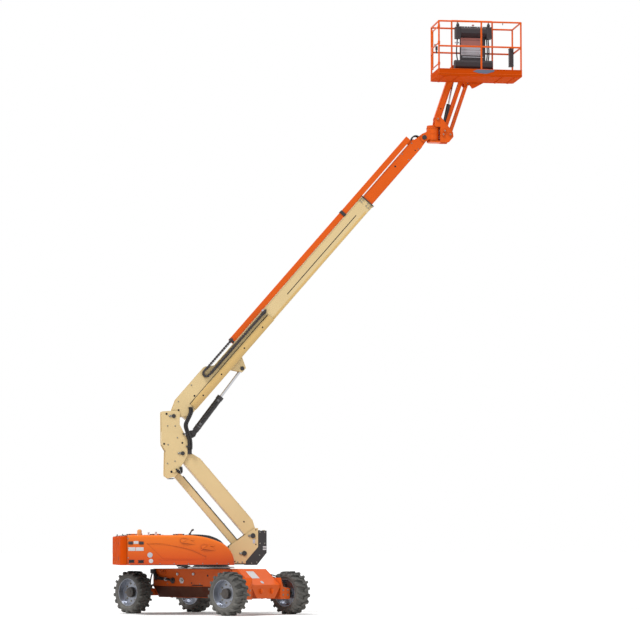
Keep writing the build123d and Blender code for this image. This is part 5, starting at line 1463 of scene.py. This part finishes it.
consoleY = 0.4185
panelY = consoleY - 0.0715
knobProfile = ((0, 0), (0.038, 0), (0.04, 0.006), (0.034, 0.016), (0.036, 0.024), (0.027, 0.036), (0.028, 0.044),
               (0.017, 0.06), (0, 0.064))
stopProfile = ((0, 0), (0.012, 0), (0.012, 0.012), (0.028, 0.014), (0.03, 0.024), (0.022, 0.032), (0, 0.034))
sillShape = ((-0.23, -0.005), (-0.12, 0.048), (0.25, 0.046), (0.23, 0.0), (0.06, -0.052), (-0.1, -0.04))
stickPlaces = (-0.34, 0.34)
stickProfile = ((0, 0), (0.014, 0.002), (0.019, 0.016), (0.02, 0.034), (0.013, 0.048), (0, 0.05))
platformParts = {
    "rose_panel": ("plateRose", [
        ("box", (-0.04, panelY, 0.876), (0.46, 0.006, 0.185), 0.003),
        ("box", (-0.04, panelY - 0.004, 0.83), (0.44, 0.004, 0.05), 0.002),
    ]),
    "grey_panel": ("plateGrey", [
        ("box", (-0.04, panelY, 0.672), (0.44, 0.006, 0.18), 0.003),
        ("box", (0.0, panelY, 0.545), (0.46, 0.006, 0.018), 0.002),
        ("box", (-0.345, panelY + 0.03, 0.86), (0.1, 0.02, 0.03), 0.004),
        ("box", (0.2, panelY - 0.012, 0.44), (0.4, 0.02, 0.012), 0.003),
    ]),
    "panel_lines": ("darkJointAndRecessShade", [
        ("box", (-0.04, panelY - 0.0035, high), (0.42, 0.0015, 0.006), 0.0003) for high in (0.915, 0.7, 0.64, 0.61)
    ]),
    "boots": ("darkPlastic", [
        *(("turn", (x, consoleY - 0.11, 1.221), "z", knobProfile) for x in stickPlaces),
        *(("turn", (x, consoleY - 0.11, 1.295), "z", stickProfile) for x in stickPlaces),
        *(("rod", (x, consoleY - 0.11, 1.25), (x, consoleY - 0.11, 1.3), 0.009) for x in stickPlaces),
    ]),
    "switches": ("plateGrey", [
        ("box", (x, consoleY - 0.16, 1.19), (0.016, 0.02, 0.03), 0.003) for x in (-0.2, -0.14, -0.08, 0.08, 0.14, 0.2)
    ]),
    "stop_button": ("stopRed", [("turn", (0.0, consoleY - 0.1, 1.221), "z", stopProfile)]),
    "console_cables": ("hoseRubber", [
        ("pipe", ((x, consoleY - 0.03, 0.99), (x * 1.05, consoleY - 0.022, 0.8), (x * 1.08, consoleY - 0.022, 0.6),
                  (x, consoleY - 0.03, 0.46)), 0.014)
        for x in (0.31, 0.345, -0.33)
    ]),
    "rail_buffers": ("blackPaint", [
        ("box", (-0.899, -0.15, 0.63), (0.046, 0.05, 0.09), 0.008),
        ("box", (-0.899, -0.15, 0.55), (0.03, 0.03, 0.06), 0.006),
    ]),
    "sill_plate": ("plateSteel", [("plate", (0.07, -0.4585, 0.1), "-y", sillShape, 0.004)]),
    "toe_seams": ("orangePaint", [
        *seamRows(-0.9, 0.9, 0.4575, (0.145, 0.045), 0.006),
        *(("rod", (x, -0.44, z), (x, 0.44, z), 0.005, 8) for x in (-0.9125, 0.9125) for z in (0.145, 0.045)),
        *(("box", (x, y, 0.095), (0.03, 0.03, 0.1), 0.008) for x in (-0.903, 0.903) for y in (-0.442, 0.442)),
    ]),
    "floor_ribs": ("floorPaint", [
        *(("box", (x, 0, 0.0), (0.04, 0.86, 0.03), 0.006) for x in (-0.75, -0.45, 0.5, 0.78)),
        *(("box", (0, y, 0.003), (1.78, 0.035, 0.02), 0.005) for y in (-0.42, 0.42)),
    ]),
    "rail_feet": ("orangePaint", [
        ("turn", (x, y, 0.04), "z", ((0, 0), (0.032, 0), (0.032, 0.012), (0.022, 0.022), (0, 0.022)), 20)
        for x, y in ((0.03, -0.43), (-0.45, 0.43), (0.45, 0.43))
    ]),
    "eye_rings": ("zincBolt", [("ring", (x, -0.4375, 1.147), "x", 0.024, 0.005, 24) for x in (-0.5, 0.5)]),
    "box_trim": ("darkPlastic", [
        ("box", (0.835, 0.283, 0.73), (0.098, 0.146, 0.02), 0.006),
        ("box", (0.835, 0.283, 0.35), (0.096, 0.146, 0.016), 0.006),
        ("box", (0.835, 0.209, 0.69), (0.04, 0.01, 0.05), 0.003),
        ("turn", (0.835, 0.283, 0.74), "z", ((0, 0), (0.03, 0), (0.03, 0.008), (0.012, 0.02), (0, 0.02)), 20),
    ]),
}
assemble("platform", "platform", platformSeat, platformParts)
studValues = {"across": 34, "along": 16, "pitch": 0.052, "size": 0.011, "high": 0.0022, "foot": 0.04}


def floorStuds():
    # low round grips over the whole of the platform floor
    values = studValues
    size, high, pitch = values["size"], values["high"], values["pitch"]
    stud = bmesh.new()
    addLathe(stud, Matrix.Identity(4), ((size, 0), (size * 0.6, high), (0, high)), 6)
    places = []
    for row in range(values["along"]):
        for column in range(values["across"]):
            x = (column - (values["across"] - 1) / 2) * pitch
            y = (row - (values["along"] - 1) / 2) * pitch
            places.append(moved(platformSeat, x, y, values["foot"]))
    onSpots("floor_grip", stud, places, "platform", "orangePaint")


floorStuds()
nodes["platform_floor"].material_slots[0].material = finishes["floorPaint"]
gateParts = {
    "latch": ("blackPaint", [
        ("box", (-0.9, 0.02, 0.72), (0.03, 0.05, 0.035), 0.006), ("drum", (-0.9, 0.02, 0.735), "z", 0.012, 0.02),
    ]),
}
assemble("gate", "gate", platformSeat, gateParts)


pedalValues = {"base": 0.012, "lip": 0.02, "rear": 0.55, "wide": 0.9, "rise": 0.6, "tilt": 20, "pedal": (0.72, 0.7)}


def footSwitch():
    # a hooded pedal on a base plate, in the space of the plain block it stands for
    values = pedalValues
    low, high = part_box("foot_switch")
    centre = (low + high) / 2
    size = high - low
    place = Matrix.Translation((centre.x, centre.y, low.z))
    work = bmesh.new()
    addBox(work, moved(place, 0, 0, values["base"] / 2), (size.x, size.y, values["base"]), 0.004)
    half = size.y / 2
    lip, rear = half - values["lip"], size.z * values["rear"]
    hood = ((-half, 0.01), (half, 0.01), (half, size.z), (lip, size.z), (-lip, rear), (-half, 0.03))
    addPrism(work, turned(turned(place, 90, "Y"), 90, "Z"), hood, size.x * values["wide"], 0.006)
    pedal = turned(moved(place, 0, 0, size.z * values["rise"]), values["tilt"], "X")
    wide, deep = values["pedal"]
    addBox(work, pedal, (size.x * wide, size.y * deep, values["base"]), 0.004)
    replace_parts(keepWork("foot_pedal", work, "platform", "plateSteel"), "foot_switch")


footSwitch()
print("jib and platform dressed")
